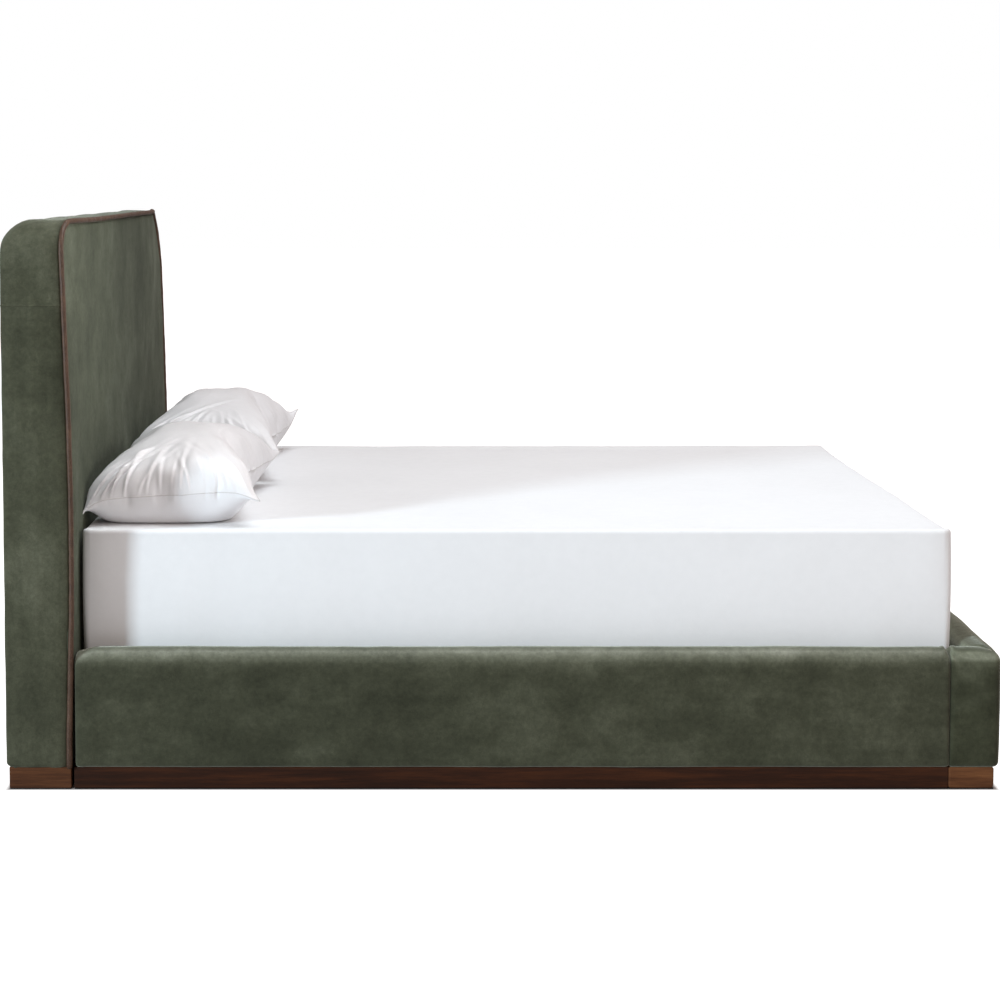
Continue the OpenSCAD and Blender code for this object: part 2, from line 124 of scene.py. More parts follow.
def both_ends(fine, a, b, step):
    """Values from a to b, closer together near both ends by the distances in fine."""
    inner = spaced(a + fine[-1], b - fine[-1], step)
    return np.concatenate([a + np.array(fine[:-1]), inner, b - np.array(fine[-2::-1])])


# ---------- meshes ----------


def new_object(name, data):
    """A mesh, light or camera in the scene."""
    obj = bpy.data.objects.new(name, data)
    bpy.context.scene.collection.objects.link(obj)
    return obj


def new_mesh(name, verts, faces):
    mesh = bpy.data.meshes.new(name)
    mesh.from_pydata([tuple(v) for v in np.asarray(verts).reshape(-1, 3)], [], faces)
    return mesh


def build(name, verts, faces, material, slot, body="bed", replaces=(), centre=None, shell=0.0, weld=False):
    """A smooth-shaded mesh piece that faces away from centre, rides on a body and stands for CAD nodes."""
    mesh = new_mesh(name, verts, faces)
    bm = bmesh.new()
    bm.from_mesh(mesh)
    if weld:
        bmesh.ops.remove_doubles(bm, verts=bm.verts, dist=2e-5)
        bmesh.ops.dissolve_degenerate(bm, edges=bm.edges, dist=1e-6)
    bmesh.ops.recalc_face_normals(bm, faces=bm.faces)
    if centre is not None:
        c = Vector(centre)
        lean = sum(f.calc_area() * f.normal.dot(f.calc_center_median() - c) for f in bm.faces)
        if lean < 0:
            bmesh.ops.reverse_faces(bm, faces=bm.faces)
    bm.to_mesh(mesh)
    bm.free()
    mesh.polygons.foreach_set("use_smooth", [True] * len(mesh.polygons))
    mesh.materials.append(material)
    obj = new_object(name, mesh)
    if shell:
        m = obj.modifiers.new("thickness", "SOLIDIFY")
        m.thickness, m.offset = shell, -1
    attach(obj, body)
    if replaces:
        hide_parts(*replaces)
    return obj


def grid_faces(rows, cols, wrap_cols=False, first=0):
    """Four-sided faces over a grid of vertices, in rings if the columns wrap."""
    faces = []
    for i in range(rows - 1):
        a = first + i * cols
        b = a + cols
        for j in range(cols if wrap_cols else cols - 1):
            k = (j + 1) % cols
            faces.append((a + j, b + j, b + k, a + k))
    return faces


def lidded(rows, cols):
    """Faces of a tube of rings with a flat face over both ends."""
    lids = [tuple(range(cols))[::-1], tuple(range((rows - 1) * cols, rows * cols))]
    return grid_faces(rows, cols, wrap_cols=True) + lids


def capped(rings):
    """Vertices and faces of a skin over closed rings of points, with a fan of triangles over both ends."""
    rows, cols = rings.shape[:2]
    middle, last = rows * cols, (rows - 1) * cols
    verts = np.concatenate([rings.reshape(-1, 3), [rings[0].mean(0)], [rings[-1].mean(0)]])
    faces = grid_faces(rows, cols, wrap_cols=True)
    faces += [(middle, (j + 1) % cols, j) for j in range(cols)]
    faces += [(middle + 1, last + j, last + (j + 1) % cols) for j in range(cols)]
    return verts, faces


def tube(path, radius, sides):
    """Vertices and faces of a closed round tube along a path of points, with rounded ends."""
    path = np.asarray(path, float)
    radius = np.broadcast_to(np.asarray(radius, float), len(path)).copy()
    along = np.gradient(path, axis=0)
    along /= np.linalg.norm(along, axis=1)[:, None]
    up = np.array([1.0, 0, 0])
    rings = []
    for p, d, r in zip(path, along, radius):
        across = np.cross(d, up)
        across /= np.linalg.norm(across)
        third = np.cross(across, d)
        angle = np.arange(sides) * 2 * math.pi / sides
        rings.append(p + r * (np.outer(np.cos(angle), third) + np.outer(np.sin(angle), across)))
    first, last = rings[0].mean(0), rings[-1].mean(0)
    rings = [first + 0.5 * (rings[0] - first) - along[0] * radius[0] * 0.6, *rings,
             last + 0.5 * (rings[-1] - last) + along[-1] * radius[-1] * 0.6]
    return np.concatenate(rings), lidded(len(rings), sides)


# ---------- materials ----------


class Mat:
    """A node material: a Principled shader, and short calls that add and join nodes."""

    def __init__(self, name, **sockets):
        self.material = bpy.data.materials.new(name)
        self.material.use_nodes = True
        self.tree = self.material.node_tree
        self.tree.nodes.clear()
        out = self.tree.nodes.new("ShaderNodeOutputMaterial")
        self.bsdf = self.tree.nodes.new("ShaderNodeBsdfPrincipled")
        self.tree.links.new(self.bsdf.outputs[0], out.inputs[0])
        self.place = self.tree.nodes.new("ShaderNodeTexCoord").outputs["Object"]
        for key, value in sockets.items():
            self.bsdf.inputs[key.replace("_", " ").title().replace("Ior", "IOR")].default_value = value

    def add(self, kind, inputs=(), **settings):
        node = self.tree.nodes.new("ShaderNode" + kind)
        for key, value in settings.items():
            setattr(node, key, value)
        for key, value in dict(inputs).items():
            if isinstance(value, bpy.types.NodeSocket):
                self.tree.links.new(value, node.inputs[key])
            else:
                node.inputs[key].default_value = value
        return node

    def stretched(self, scale):
        return self.add("Mapping", {"Vector": self.place, "Scale": scale}).outputs[0]

    def grained(self, axis, share):
        return self.stretched(tuple(share if i == axis else 1.0 for i in range(3)))

    def noise(self, scale, detail=3.0, rough=0.5, place=None):
        return self.add("TexNoise", {"Vector": place or self.place, "Scale": scale, "Detail": detail,
                                     "Roughness": rough}).outputs["Fac"]

    def ribs(self, axis, scale, **inputs):
        return self.add("TexWave", {"Vector": self.place, "Scale": scale, **inputs},
                        bands_direction=axis).outputs["Fac"]

    def math(self, operation, a, b=0.0, c=0.0):
        return self.add("Math", {0: a, 1: b, 2: c}, operation=operation).outputs[0]

    def ramp(self, value, stops):
        node = self.add("ValToRGB", {"Fac": value})
        e = node.color_ramp.elements
        while len(e) < len(stops):
            e.new(0.5)
        for i, (at, colour) in enumerate(stops):
            e[i].position, e[i].color = at, (*colour, 1)
        return node.outputs[0]

    def mix(self, fac, a, b, kind="MIX"):
        a, b = (v if isinstance(v, bpy.types.NodeSocket) else (*v, 1) for v in (a, b))
        return self.add("Mix", {0: fac, 6: a, 7: b}, data_type="RGBA", blend_type=kind).outputs[2]

    def range(self, value, a, b, c, d):
        return self.add("MapRange", {"Value": value, "From Min": a, "From Max": b, "To Min": c,
                                     "To Max": d}).outputs[0]

    def colour(self, socket):
        self.tree.links.new(socket, self.bsdf.inputs["Base Color"])

    def rough(self, socket):
        self.tree.links.new(socket, self.bsdf.inputs["Roughness"])

    def bump(self, *layers):
        """Layers of (height socket, how deep in metres), the coarse ones first."""
        normal = None
        for height, depth in layers:
            inputs = {"Height": height, "Distance": depth, "Strength": 1.0}
            if normal:
                inputs["Normal"] = normal
            normal = self.add("Bump", inputs).outputs[0]
        self.tree.links.new(normal, self.bsdf.inputs["Normal"])


def srgb(r, g, b):
    """A colour given as 0 to 255 screen values, as the linear values that shaders take."""
    return tuple(v / 255 / 12.92 if v < 10.3 else ((v / 255 + 0.055) / 1.055) ** 2.4 for v in (r, g, b))


def velvet(name, streak, sheen, depth, brush, bend=()):
    """Cotton velvet: short pile whose lie varies in blotches and along brushed streaks.

    bend gives a painted highlight: how much lighter the colour is painted by how far the surface faces up,
    standing in for the top light on the rounded upper edges."""
    m = Mat(name, roughness=0.88, specular_ior_level=0.12, sheen_weight=sheen, sheen_roughness=0.36,
            sheen_tint=(0.62, 0.64, 0.55, 1))
    shades = [tuple(c * k for c, k in zip(srgb(*shade), depth))
              for shade in ((56, 58, 46), (70, 72, 58), (88, 90, 75))]
    blotch = m.noise(2.6, 5, 0.62)
    cloud = m.noise(11.0, 4, 0.6)
    brushed = m.noise(1.0, 3, 0.55, m.stretched(streak))
    mottle = m.noise(85.0, 5, 0.7)
    pile = m.noise(700.0, 2, 0.7)
    lie = m.math("MULTIPLY_ADD", cloud, 0.32, m.math("MULTIPLY", brushed, brush))
    lie = m.math("MULTIPLY_ADD", blotch, 0.68 - brush, lie)
    crushed = m.ramp(mottle, [(0.3, (0.79,) * 3), (0.7, (1.19,) * 3)])
    base = m.ramp(lie, list(zip((0.36, 0.5, 0.64), shades)))
    speck = m.ramp(pile, [(0.3, (0.80,) * 3), (0.7, (1.16,) * 3)])
    base = m.mix(1.0, m.mix(1.0, base, crushed, "MULTIPLY"), speck, "MULTIPLY")
    # painted highlight: where bend is given, the colour is multiplied lighter by how far the surface faces up,
    # standing in for the top light on the rounded edges
    if bend:
        up = m.add("SeparateXYZ", {0: m.place.node.outputs["Normal"]}).outputs[Z]
        base = m.mix(1.0, base, m.ramp(up, [(at, (k, k ** 0.98, k ** 1.14)) for at, k in bend]), "MULTIPLY")
    m.colour(base)
    m.rough(m.range(lie, 0.35, 0.65, 0.92, 0.8))
    m.bump((blotch, 0.005), (cloud, 0.0022), (brushed, 0.004 * brush), (mottle, 0.0005), (pile, 0.0003))
    return m.material


def leather():
    """Dark brown piping leather: creased grain, a soft shine and rubbed high spots."""
    m = Mat("piping_leather", roughness=0.45, specular_ior_level=0.3)
    grain = m.add("TexVoronoi", {"Vector": m.place, "Scale": 420.0},
                  feature="DISTANCE_TO_EDGE").outputs["Distance"]
    wear = m.noise(26.0, 4, 0.6)
    m.colour(m.ramp(m.math("MULTIPLY_ADD", wear, 0.7, m.math("MULTIPLY", grain, 1.2)),
                    [(0.25, srgb(52, 36, 26)), (0.5, srgb(72, 51, 38)), (0.8, srgb(96, 72, 56))]))
    m.rough(m.range(wear, 0.3, 0.7, 0.36, 0.56))
    m.bump((wear, 0.0006), (grain, 0.0006))
    return m.material


def timber(name, dark, mid, light, along, rough):
    """Planed wood with growth lines and pores drawn out along the grain."""
    m = Mat(name, roughness=rough, specular_ior_level=0.16)
    place = m.grained(along, 0.06)
    warp = m.noise(5.0, 3, 0.5, place)
    lines = m.noise(54.0, 6, 0.66, place)
    pores = m.noise(700.0, 2, 0.6, m.grained(along, 0.03))
    figure = m.math("MULTIPLY_ADD", lines, 0.6, m.math("MULTIPLY", warp, 0.4))
    base = m.ramp(figure, [(0.36, dark), (0.5, mid), (0.63, light)])
    streak = m.ramp(pores, [(0.34, (0.62,) * 3), (0.52, (1, 1, 1))])
    m.colour(m.mix(0.7, base, streak, "MULTIPLY"))
    m.rough(m.range(pores, 0.3, 0.6, rough + 0.12, rough))
    m.bump((figure, 0.0006), (pores, 0.00025))
    return m.material


def cotton(name, colour, thread, sheen, crease, rough, shine):
    """Woven cotton: over-and-under threads, faint unevenness and a soft sheen."""
    m = Mat(name, specular_ior_level=shine, sheen_weight=sheen, sheen_roughness=0.4)
    weave = m.math("MULTIPLY", *(m.ribs(axis, thread, Distortion=0.6, Detail=1.0) for axis in "XY"))
    slub = m.noise(38.0, 4, 0.6)
    soft = m.noise(5.5, 4, 0.55)
    tone = m.math("MULTIPLY_ADD", slub, 0.5, m.math("MULTIPLY", soft, 0.5))
    m.colour(m.ramp(tone, [(0.3, tuple(c * 0.955 for c in colour)), (0.7, colour)]))
    m.rough(m.range(slub, 0.3, 0.7, rough + 0.06, rough - 0.08))
    m.bump((soft, crease), (slub, 0.0003), (weave, 0.00002))
    return m.material


def steel(name, colour, rough, brushed):
    """Plated steel with fine brush lines."""
    m = Mat(name, metallic=1.0, roughness=rough)
    lines = m.noise(1.0, 3, 0.6, m.stretched(brushed))
    blot = m.noise(40.0, 3, 0.6)
    m.colour(m.ramp(blot, [(0.35, tuple(c * 0.82 for c in colour)), (0.65, colour)]))
    m.rough(m.range(lines, 0.3, 0.7, rough - 0.08, rough + 0.1))
    m.bump((lines, 0.00006))
    return m.material


def powder_coat():
    """Black powder-coated steel with a slight orange peel."""
    m = Mat("black_steel", roughness=0.55, specular_ior_level=0.5)
    peel = m.noise(420.0, 3, 0.5)
    dust = m.noise(16.0, 4, 0.6)
    m.colour(m.ramp(dust, [(0.35, srgb(24, 24, 25)), (0.7, srgb(38, 38, 40))]))
    m.rough(m.range(dust, 0.3, 0.7, 0.5, 0.66))
    m.bump((peel, 0.0002))
    return m.material


def webbing_stuff():
    """Pale ribbed webbing."""
    m = Mat("webbing", roughness=0.8, specular_ior_level=0.2)
    rib = m.ribs("X", 160.0, Distortion=0.3)
    tone = m.noise(60.0, 3, 0.6)
    m.colour(m.ramp(m.math("MULTIPLY_ADD", rib, 0.5, m.math("MULTIPLY", tone, 0.5)),
                    [(0.3, srgb(186, 180, 166)), (0.7, srgb(226, 221, 208))]))
    m.bump((rib, 0.0003), (tone, 0.0003))
    return m.material


def moulded(name, dark, light, grain, depth, rough):
    """Moulded plastic or pressed felt: a fine even grain."""
    m = Mat(name, roughness=rough, specular_ior_level=0.3)
    fine = m.noise(grain, 4, 0.65)
    tone = m.noise(30.0, 3, 0.5)
    m.colour(m.ramp(tone, [(0.3, dark), (0.7, light)]))
    m.rough(m.range(fine, 0.3, 0.7, rough - 0.06, rough + 0.06))
    m.bump((fine, depth))
    return m.material


def plywood_stuff():
    """Pale plywood with an upright grain."""
    m = Mat("plywood", roughness=0.6, specular_ior_level=0.3)
    figure = m.noise(7.0, 5, 0.6, m.grained(Z, 0.08))
    pores = m.noise(500.0, 2, 0.6, m.grained(Z, 0.04))
    base = m.ramp(figure, [(0.35, srgb(186, 150, 104)), (0.5, srgb(205, 171, 124)), (0.65, srgb(222, 192, 148))])
    m.colour(m.mix(0.5, base, m.ramp(pores, [(0.3, (0.75, 0.7, 0.62)), (0.55, (1, 1, 1))]), "MULTIPLY"))
    m.bump((figure, 0.0004), (pores, 0.0002))
    return m.material


VELVET_SIDE = velvet("velvet_side", (34, 34, 2.2), 0.25, (0.97, 0.96, 0.94), 0.16)
VELVET_FRONT = velvet("velvet_front", (95, 95, 2.4), 0.08, (1.12, 1.20, 1.26), 0.07)
# the lists for the rail and footboard are painted highlights: (how far the surface faces up, how much lighter its
# colour is painted)
VELVET_RAIL = velvet("velvet_rail", (5, 16, 16), 0.85, (0.76, 0.76, 0.73), 0.3,
                     [(0.03, 1.0), (0.28, 1.3), (0.52, 2.3), (0.78, 3.9), (1.0, 1.8)])
VELVET_FOOT = velvet("velvet_foot", (16, 5, 16), 0.95, (0.50, 0.52, 0.45), 0.2,
                     [(0.0, 1.0), (0.14, 2.4), (0.42, 4.6), (0.75, 4.2), (0.98, 1.5)])
LEATHER = leather()
PINE = (srgb(196, 158, 108), srgb(216, 182, 134), srgb(232, 204, 160))
# WALNUT, on the rail plinths, is darker than WALNUT_LIGHT on the ends and cross boards; that extra darkness is
# painted shade from the rails' overhang
WALNUT = (srgb(27, 12, 4), srgb(45, 21, 8), srgb(67, 34, 14))
WALNUT_LIGHT = (srgb(58, 32, 18), srgb(86, 52, 30), srgb(112, 72, 43))
WALNUT_X = timber("walnut_along_bed", *WALNUT, along=X, rough=0.5)
WALNUT_Y = timber("walnut_across_bed", *WALNUT_LIGHT, along=Y, rough=0.5)
WALNUT_END = timber("walnut_ends", *WALNUT_LIGHT, along=X, rough=0.5)
PINE_X = timber("pine_along_bed", *PINE, along=X, rough=0.6)
PINE_Y = timber("pine_across_bed", *PINE, along=Y, rough=0.6)
PINE_Z = timber("pine_upright", *PINE, along=Z, rough=0.6)
PLYWOOD = plywood_stuff()
STEEL = powder_coat()
ZINC = steel("zinc_steel", srgb(190, 192, 196), 0.32, (300, 20, 300))
PLASTIC = moulded("foot_plastic", srgb(20, 20, 21), srgb(34, 34, 35), 500.0, 0.0002, 0.5)
# the felt's near black is partly its own dark felt and partly painted shade for the shadow gap under the plinth
FELT = moulded("felt", srgb(6, 6, 6), srgb(12, 11, 11), 1400.0, 0.0006, 0.95)
WEBBING = webbing_stuff()
SHEET = cotton("fitted_sheet", (0.785, 0.79, 0.805), 900.0, 0.15, 0.002, 0.72, 0.25)
PILLOW = cotton("pillow_cotton", (0.775, 0.768, 0.785), 1100.0, 0.2, 0.001, 0.42, 0.45)
# the seam cord's grey is partly its own cotton and partly painted shade for the shadow line under the sewn edge
PILLOW_SEAM = cotton("pillow_seam", (0.62, 0.60, 0.60), 700.0, 0.1, 0.001, 0.7, 0.25)


# ---------- headboard ----------


def outline(s):
    """Headboard outline seen from the front: (y, z) and outward normal at arc length s from the top's middle."""
    s = np.asarray(s, float)
    a, side = np.abs(s), np.where(s < 0, -1.0, 1.0)
    turn = np.clip((a - HALF_TOP) / CORNER, 0, math.pi / 2)
    y = np.minimum(a, HALF_TOP) + CORNER * np.sin(turn)
    z = CORNER_Z + CORNER * np.cos(turn) - np.maximum(a - HALF_TOP - ARC, 0)
    return np.stack([y * side, z], -1), np.stack([np.sin(turn) * side, np.cos(turn)], -1)


# How far the front seam lies from the back, by arc length from the top's middle, near side first. It bows
# forward at half height and is drawn back at both top corners, more at the far one.
SEAM_AT = [(-2.08, 0.1455), (-1.98, 0.1475), (-1.86, 0.1505), (-1.74, 0.1545), (-1.58, 0.156),
           (-1.44, 0.1558), (-1.26, 0.1523), (-1.11, 0.1476), (-1.00, 0.1440), (-0.90, 0.1405),
           (-0.84, 0.1405), (-0.77, 0.1475), (-0.68, 0.1520), (-0.5, 0.1535), (0.0, 0.154), (0.45, 0.1525),
           (0.62, 0.146), (0.70, 0.134), (0.76, 0.121), (0.84, 0.119), (0.90, 0.127), (0.98, 0.1345),
           (1.11, 0.1390), (1.26, 0.1430), (1.44, 0.1475), (1.58, 0.150), (1.74, 0.151), (1.86, 0.1495),
           (1.98, 0.1475), (2.08, 0.1455)]


def seam_depth(s):
    at, depth = np.array(SEAM_AT).T
    fine = np.linspace(at[0], at[-1], 1601)
    rough = np.interp(fine, at, depth)
    reach = bell(np.linspace(-2.5, 2.5, 41))
    eased = np.convolve(np.pad(rough, 20, mode="edge"), reach / reach.sum(), "valid")
    return np.interp(s, fine, eased)


def seam_sag(s):
    """How far the seam is drawn in below the outline between the corners."""
    a = np.abs(s)
    return (0.0015 * (1 - smooth(HALF_TOP * 0.5, HALF_TOP, a))
            + 0.002 * smooth(HALF_TOP + ARC, HALF_TOP + ARC + 0.25, a))


def outline_steps():
    half = np.concatenate([
        spaced(0, HALF_TOP, 0.02)[:-1], spaced(HALF_TOP, HALF_TOP + ARC, 0.006)[:-1],
        spaced(HALF_TOP + ARC, CROSS_SEAM_S - 0.006, 0.012)[:-1],
        CROSS_SEAM_S + np.array([-0.006, -0.004, -0.0025, -0.0015, -0.0007, 0, 0.0007, 0.0015, 0.0025, 0.004]),
        spaced(CROSS_SEAM_S + 0.006, HALF_LENGTH - UNDER_R, 0.016)])
    return np.concatenate([-half[:0:-1], half])


def raised(p):
    """The stuffing stands a little higher along the top, more so towards its left end."""
    p[..., 2] += (0.003 + 0.005 * smooth(-0.7, 0.5, p[..., 1])) * smooth(TOP - 0.30, TOP - 0.02, p[..., 2])


def band_cover():
    """Velvet that runs up one side, over the top and down the other, and rolls over the rear edges."""
    s = outline_steps()
    # both lower ends roll under and tuck in
    under = np.array([0.26, 0.5, 0.71, 0.87, 0.97, 1.0, 1.0])
    tuck = np.array([0.0, 0.0, 0.0, 0.0, 0.0, 0.35, 2.2])
    inward = UNDER_R * (1 - np.cos(np.arcsin(under))) + UNDER_R * tuck
    inward = np.concatenate([inward[::-1], np.zeros(len(s)), inward])
    lower = HALF_LENGTH - UNDER_R + UNDER_R * under
    s = np.concatenate([-lower[::-1], s, lower])
    (yz, normal), a = outline(s), np.abs(s)
    corner = smooth(0, 1, (a - HALF_TOP) / ARC)
    r = EDGE_R + (SIDE_R - EDGE_R) * corner
    depth, sag = seam_depth(s), seam_sag(s)

    window_y, window_z = SIDE - 0.040, TOP - EDGE_R - 0.040
    side_share = np.clip((yz[:, 1] - PLINTH_TOP) / (CORNER_Z - PLINTH_TOP), 0, 1)
    window = np.stack([np.clip(yz[:, 0], -window_y, window_y),
                       np.where(a > HALF_TOP, PLINTH_TOP + side_share * (window_z - PLINTH_TOP), window_z)], -1)
    columns, normals = [], []

    def column(yz_col, x_col, nx):
        columns.append(np.stack([x_col, yz_col[:, 0], yz_col[:, 1]], -1))
        nx = np.broadcast_to(nx, len(s))
        keep = np.sqrt(1 - nx ** 2)
        normals.append(np.stack([nx, normal[:, 0] * keep, normal[:, 1] * keep], -1))

    flange_x = BACK + 0.0016
    roll_end = yz - normal * r[:, None]
    for share in (0.0, 0.35, 0.7):
        column(window + (roll_end - window) * share, np.full(len(s), flange_x), -1.0)
    for turn in np.radians(np.linspace(0, 90, 10)):
        column(yz - normal * (r * (1 - math.sin(turn)))[:, None],
               flange_x + (r - 0.0016) * (1 - math.cos(turn)), -math.cos(turn))
    from_seam = [0.030, 0.022, 0.016, 0.011, 0.0075, 0.005, 0.003, 0.0015, 0.0]
    flat = depth - from_seam[0] - r
    for share in np.linspace(0.08, 1, 12):
        column(yz, BACK + r + flat * share, 0.0)
    for d in from_seam[1:]:
        column(yz, BACK + depth - d, 0.0)
    p = np.stack(columns, 1)
    n = np.stack(normals, 1)
    d = np.maximum(BACK + depth[:, None] - p[..., 0], 0)
    across = np.clip((p[..., 0] - BACK) / depth[:, None], 0, 1)
    sideways = np.sqrt(np.clip(1 - n[..., 0] ** 2, 0, 1))
    lift = 0.0022 * np.sin(math.pi * across) * sideways
    lift -= SEAM_TUCK * np.exp(-d / SEAM_TUCK_REACH) + sag[:, None] * np.exp(-d / 0.035)
    lift += 0.0009 * waves(p, 0.30, 3) * sideways + 0.0003 * waves(p, 0.09, 4)
    lift += 0.0007 * waves(p, 0.045, 5, stretch=(0.3, 1, 1)) * np.exp(-d / 0.03)
    below = (a - CROSS_SEAM_S)[:, None]
    lift += (0.0019 * bell(below / 0.0013) + 0.0005 * bell(below / 0.007)) * sideways
    # the cloth over the back board never sinks into it
    flat_back = smooth(0.9, 1.0, -n[..., 0])
    lift += flat_back * (np.maximum(lift, 0) - lift)
    p = p + n * (lift - inward[:, None])[..., None]
    # the lower rear corner is rounded too
    above = np.clip(p[..., 2] - PLINTH_TOP, 0, UNDER_R)
    corner_in = UNDER_R - np.sqrt(UNDER_R ** 2 - (UNDER_R - above) ** 2)
    p[..., 0] += corner_in * (1 - smooth(0.01, 0.05, p[..., 0] - BACK)) * smooth(0.833, 0.845, np.abs(p[..., 1]))
    raised(p)
    build("headboard_band", p, grid_faces(*p.shape[:2]), VELVET_SIDE,
          replaces=("headboard_band_cover", "headboard_top_foam", "headboard_side_foam"),
          slot="velvet", centre=(BACK + 0.1, 0, 0.6), shell=FABRIC)


def front_panel():
    """The padded velvet front, crowned inside the piping and drawn in at the seam."""
    turn = np.radians(np.linspace(0, 90, 21))
    rows_z = np.concatenate([[PLINTH_TOP, PLINTH_TOP, PLINTH_TOP + 0.002, PLINTH_TOP + 0.005, PLINTH_TOP + 0.009],
                             spaced(PLINTH_TOP + 0.014, CORNER_Z, 0.02)[:-1], CORNER_Z + CORNER * np.sin(turn)])
    fold = np.concatenate([[0.030, 0.012, 0.006, 0.0028, 0.0008], np.zeros(len(rows_z) - 5)])
    reach = [0, 0.0015, 0.003, 0.005, 0.0075, 0.011, 0.016, 0.023, 0.032, 0.045, 0.062]
    half = np.concatenate([reach, spaced(0.085, SIDE, 0.032)])
    round_part = HALF_TOP + np.sqrt(np.maximum(CORNER ** 2 - (rows_z - CORNER_Z) ** 2, 0))
    width = np.where(rows_z > CORNER_Z, round_part, SIDE)
    y = (1 - half / SIDE)[None, :] * width[:, None]
    y = np.concatenate([-y, y[:, -2::-1]], 1)
    z = np.broadcast_to(rows_z[:, None], y.shape)
    ay = np.abs(y)
    edge = np.minimum(SIDE - ay, TOP - z)
    in_corner = (ay > HALF_TOP) & (z > CORNER_Z)
    edge = np.where(in_corner, CORNER - np.hypot(ay - HALF_TOP, z - CORNER_Z), edge)
    edge = np.maximum(edge, 0)
    s = np.linspace(-HALF_LENGTH, HALF_LENGTH, 280)
    on, out = outline(s)
    on = on - out * seam_sag(s)[:, None]
    far = np.hypot(y[..., None] - on[:, 0], z[..., None] - on[:, 1]) + 0.004
    weight = far ** -3.0
    field = (weight * seam_depth(s)).sum(-1) / weight.sum(-1)
    x = BACK + field + FRONT_CROWN * (1 - np.exp(-edge / 0.016)) - 0.012 * np.exp(-edge / 0.0055)
    x = x + 0.0045 * smooth(0.04, 0.28, edge)
    p = np.stack([x, y, z], -1)
    # the outermost rows and columns follow the drawn-in seam
    near = np.exp(-edge / 0.02)
    best = far.argmin(-1)
    drawn = seam_sag(s)[best] * near + 0.0035 * np.exp(-edge / 0.004)
    p[..., 1] -= out[best][..., 0] * drawn
    p[..., 2] -= out[best][..., 1] * drawn
    p[..., 0] += 0.0009 * waves(p, 0.34, 8) * (1 - near) + 0.0004 * waves(p, 0.11, 9) * (1 - near)
    by_seam = np.exp(-edge / 0.03) * (1 - np.exp(-edge / 0.006))
    p[..., 0] += 0.0009 * waves(p, 0.05, 10, stretch=(1, 1, 0.35)) * by_seam
    p[..., 0] -= fold[:, None]
    limit = (BACK + FRONT_LIMIT + 0.03 * smooth(0.765, 0.82, np.abs(p[..., 1]))
             + 0.0020 * smooth(1.14, 1.22, p[..., 2]))
    room = np.clip((limit - p[..., 0]) / 0.0015, -30, 30)
    p[..., 0] = np.where(room < 25, limit - 0.0015 * np.log1p(np.exp(room)), p[..., 0])
    raised(p)
    build("headboard_front", p, grid_faces(*p.shape[:2]), VELVET_FRONT,
          replaces=("headboard_front_cover", "headboard_front_foam"), slot="velvet",
          centre=(BACK, 0, 0.6), shell=FABRIC)


def piping():
    """Leather-covered cord along the front seam."""
    s = np.concatenate([-spaced(HALF_LENGTH - 0.001, 0, 0.008)[:-1], spaced(0, HALF_LENGTH - 0.001, 0.008)])
    yz, n = outline(s)
    a = np.abs(s)
    yz = yz - n * (0.0025 + seam_sag(s) * 0.85 - 0.0018 * smooth(-0.5, 0.5, s))[:, None]
    yz = yz + n * (0.0008 * bell((s - 0.815) / 0.04))[:, None]
    x = BACK + seam_depth(s) + 0.001
    p = np.stack([x, yz[:, 0], yz[:, 1]], -1)
    p[:, 0] += 0.0003 * waves(p, 0.16, 21) + 0.00015 * waves(p, 0.035, 22)
    p[:, 1] += 0.0002 * waves(p, 0.05, 23)
    raised(p)
    radius = PIPING_R + 0.00015 * waves(p, 0.03, 24) + 0.0010 * smooth(HALF_LENGTH - 0.5, HALF_LENGTH, a)
    verts, faces = tube(p, radius, sides=14)
    # its sewing flange, caught between the two covers
    inward = np.column_stack([np.zeros(len(s)), -n])
    flange = np.stack([p - (0.0035, 0, 0) + inward * reach for reach in (0.001, 0.009, 0.017)], 1)
    faces += grid_faces(len(s), 3, first=len(verts))
    verts = np.concatenate([verts, flange.reshape(-1, 3)])
    build("headboard_piping_cord", verts, faces, LEATHER, replaces=("headboard_piping",),
          slot="piping_leather")


def back_cover():
    """Flat velvet back with a turned-in edge."""
    y0, z0 = low("headboard_back_cover", Y) - 0.008, PLINTH_TOP
    z1 = high("headboard_back_cover", Z) + 0.008
    fine = [0, 0.0008, 0.002, 0.004, 0.008, 0.02]
    ys, zs = both_ends(fine, y0, -y0, 0.05), both_ends(fine, z0, z1, 0.05)
    y, z = np.meshgrid(ys, zs)
    edge = np.minimum(np.minimum(y - y0, -y0 - y), np.minimum(z - z0, z1 - z))
    x = BACK + 0.0004 + 0.0012 * np.exp(-edge / 0.0011) - 0.0012 * smooth(0, 0.25, edge)
    p = np.stack([x, y, z], -1)
    p[..., 0] += 0.0005 * waves(p, 0.4, 31) * smooth(0, 0.03, edge)
    raised(p)
    build("headboard_back", p, grid_faces(*p.shape[:2]), VELVET_SIDE,
          replaces=("headboard_back_cover",), slot="velvet", centre=(BACK + 1, 0, 0.6), shell=0.0015)


# ---------- rails and footboard ----------


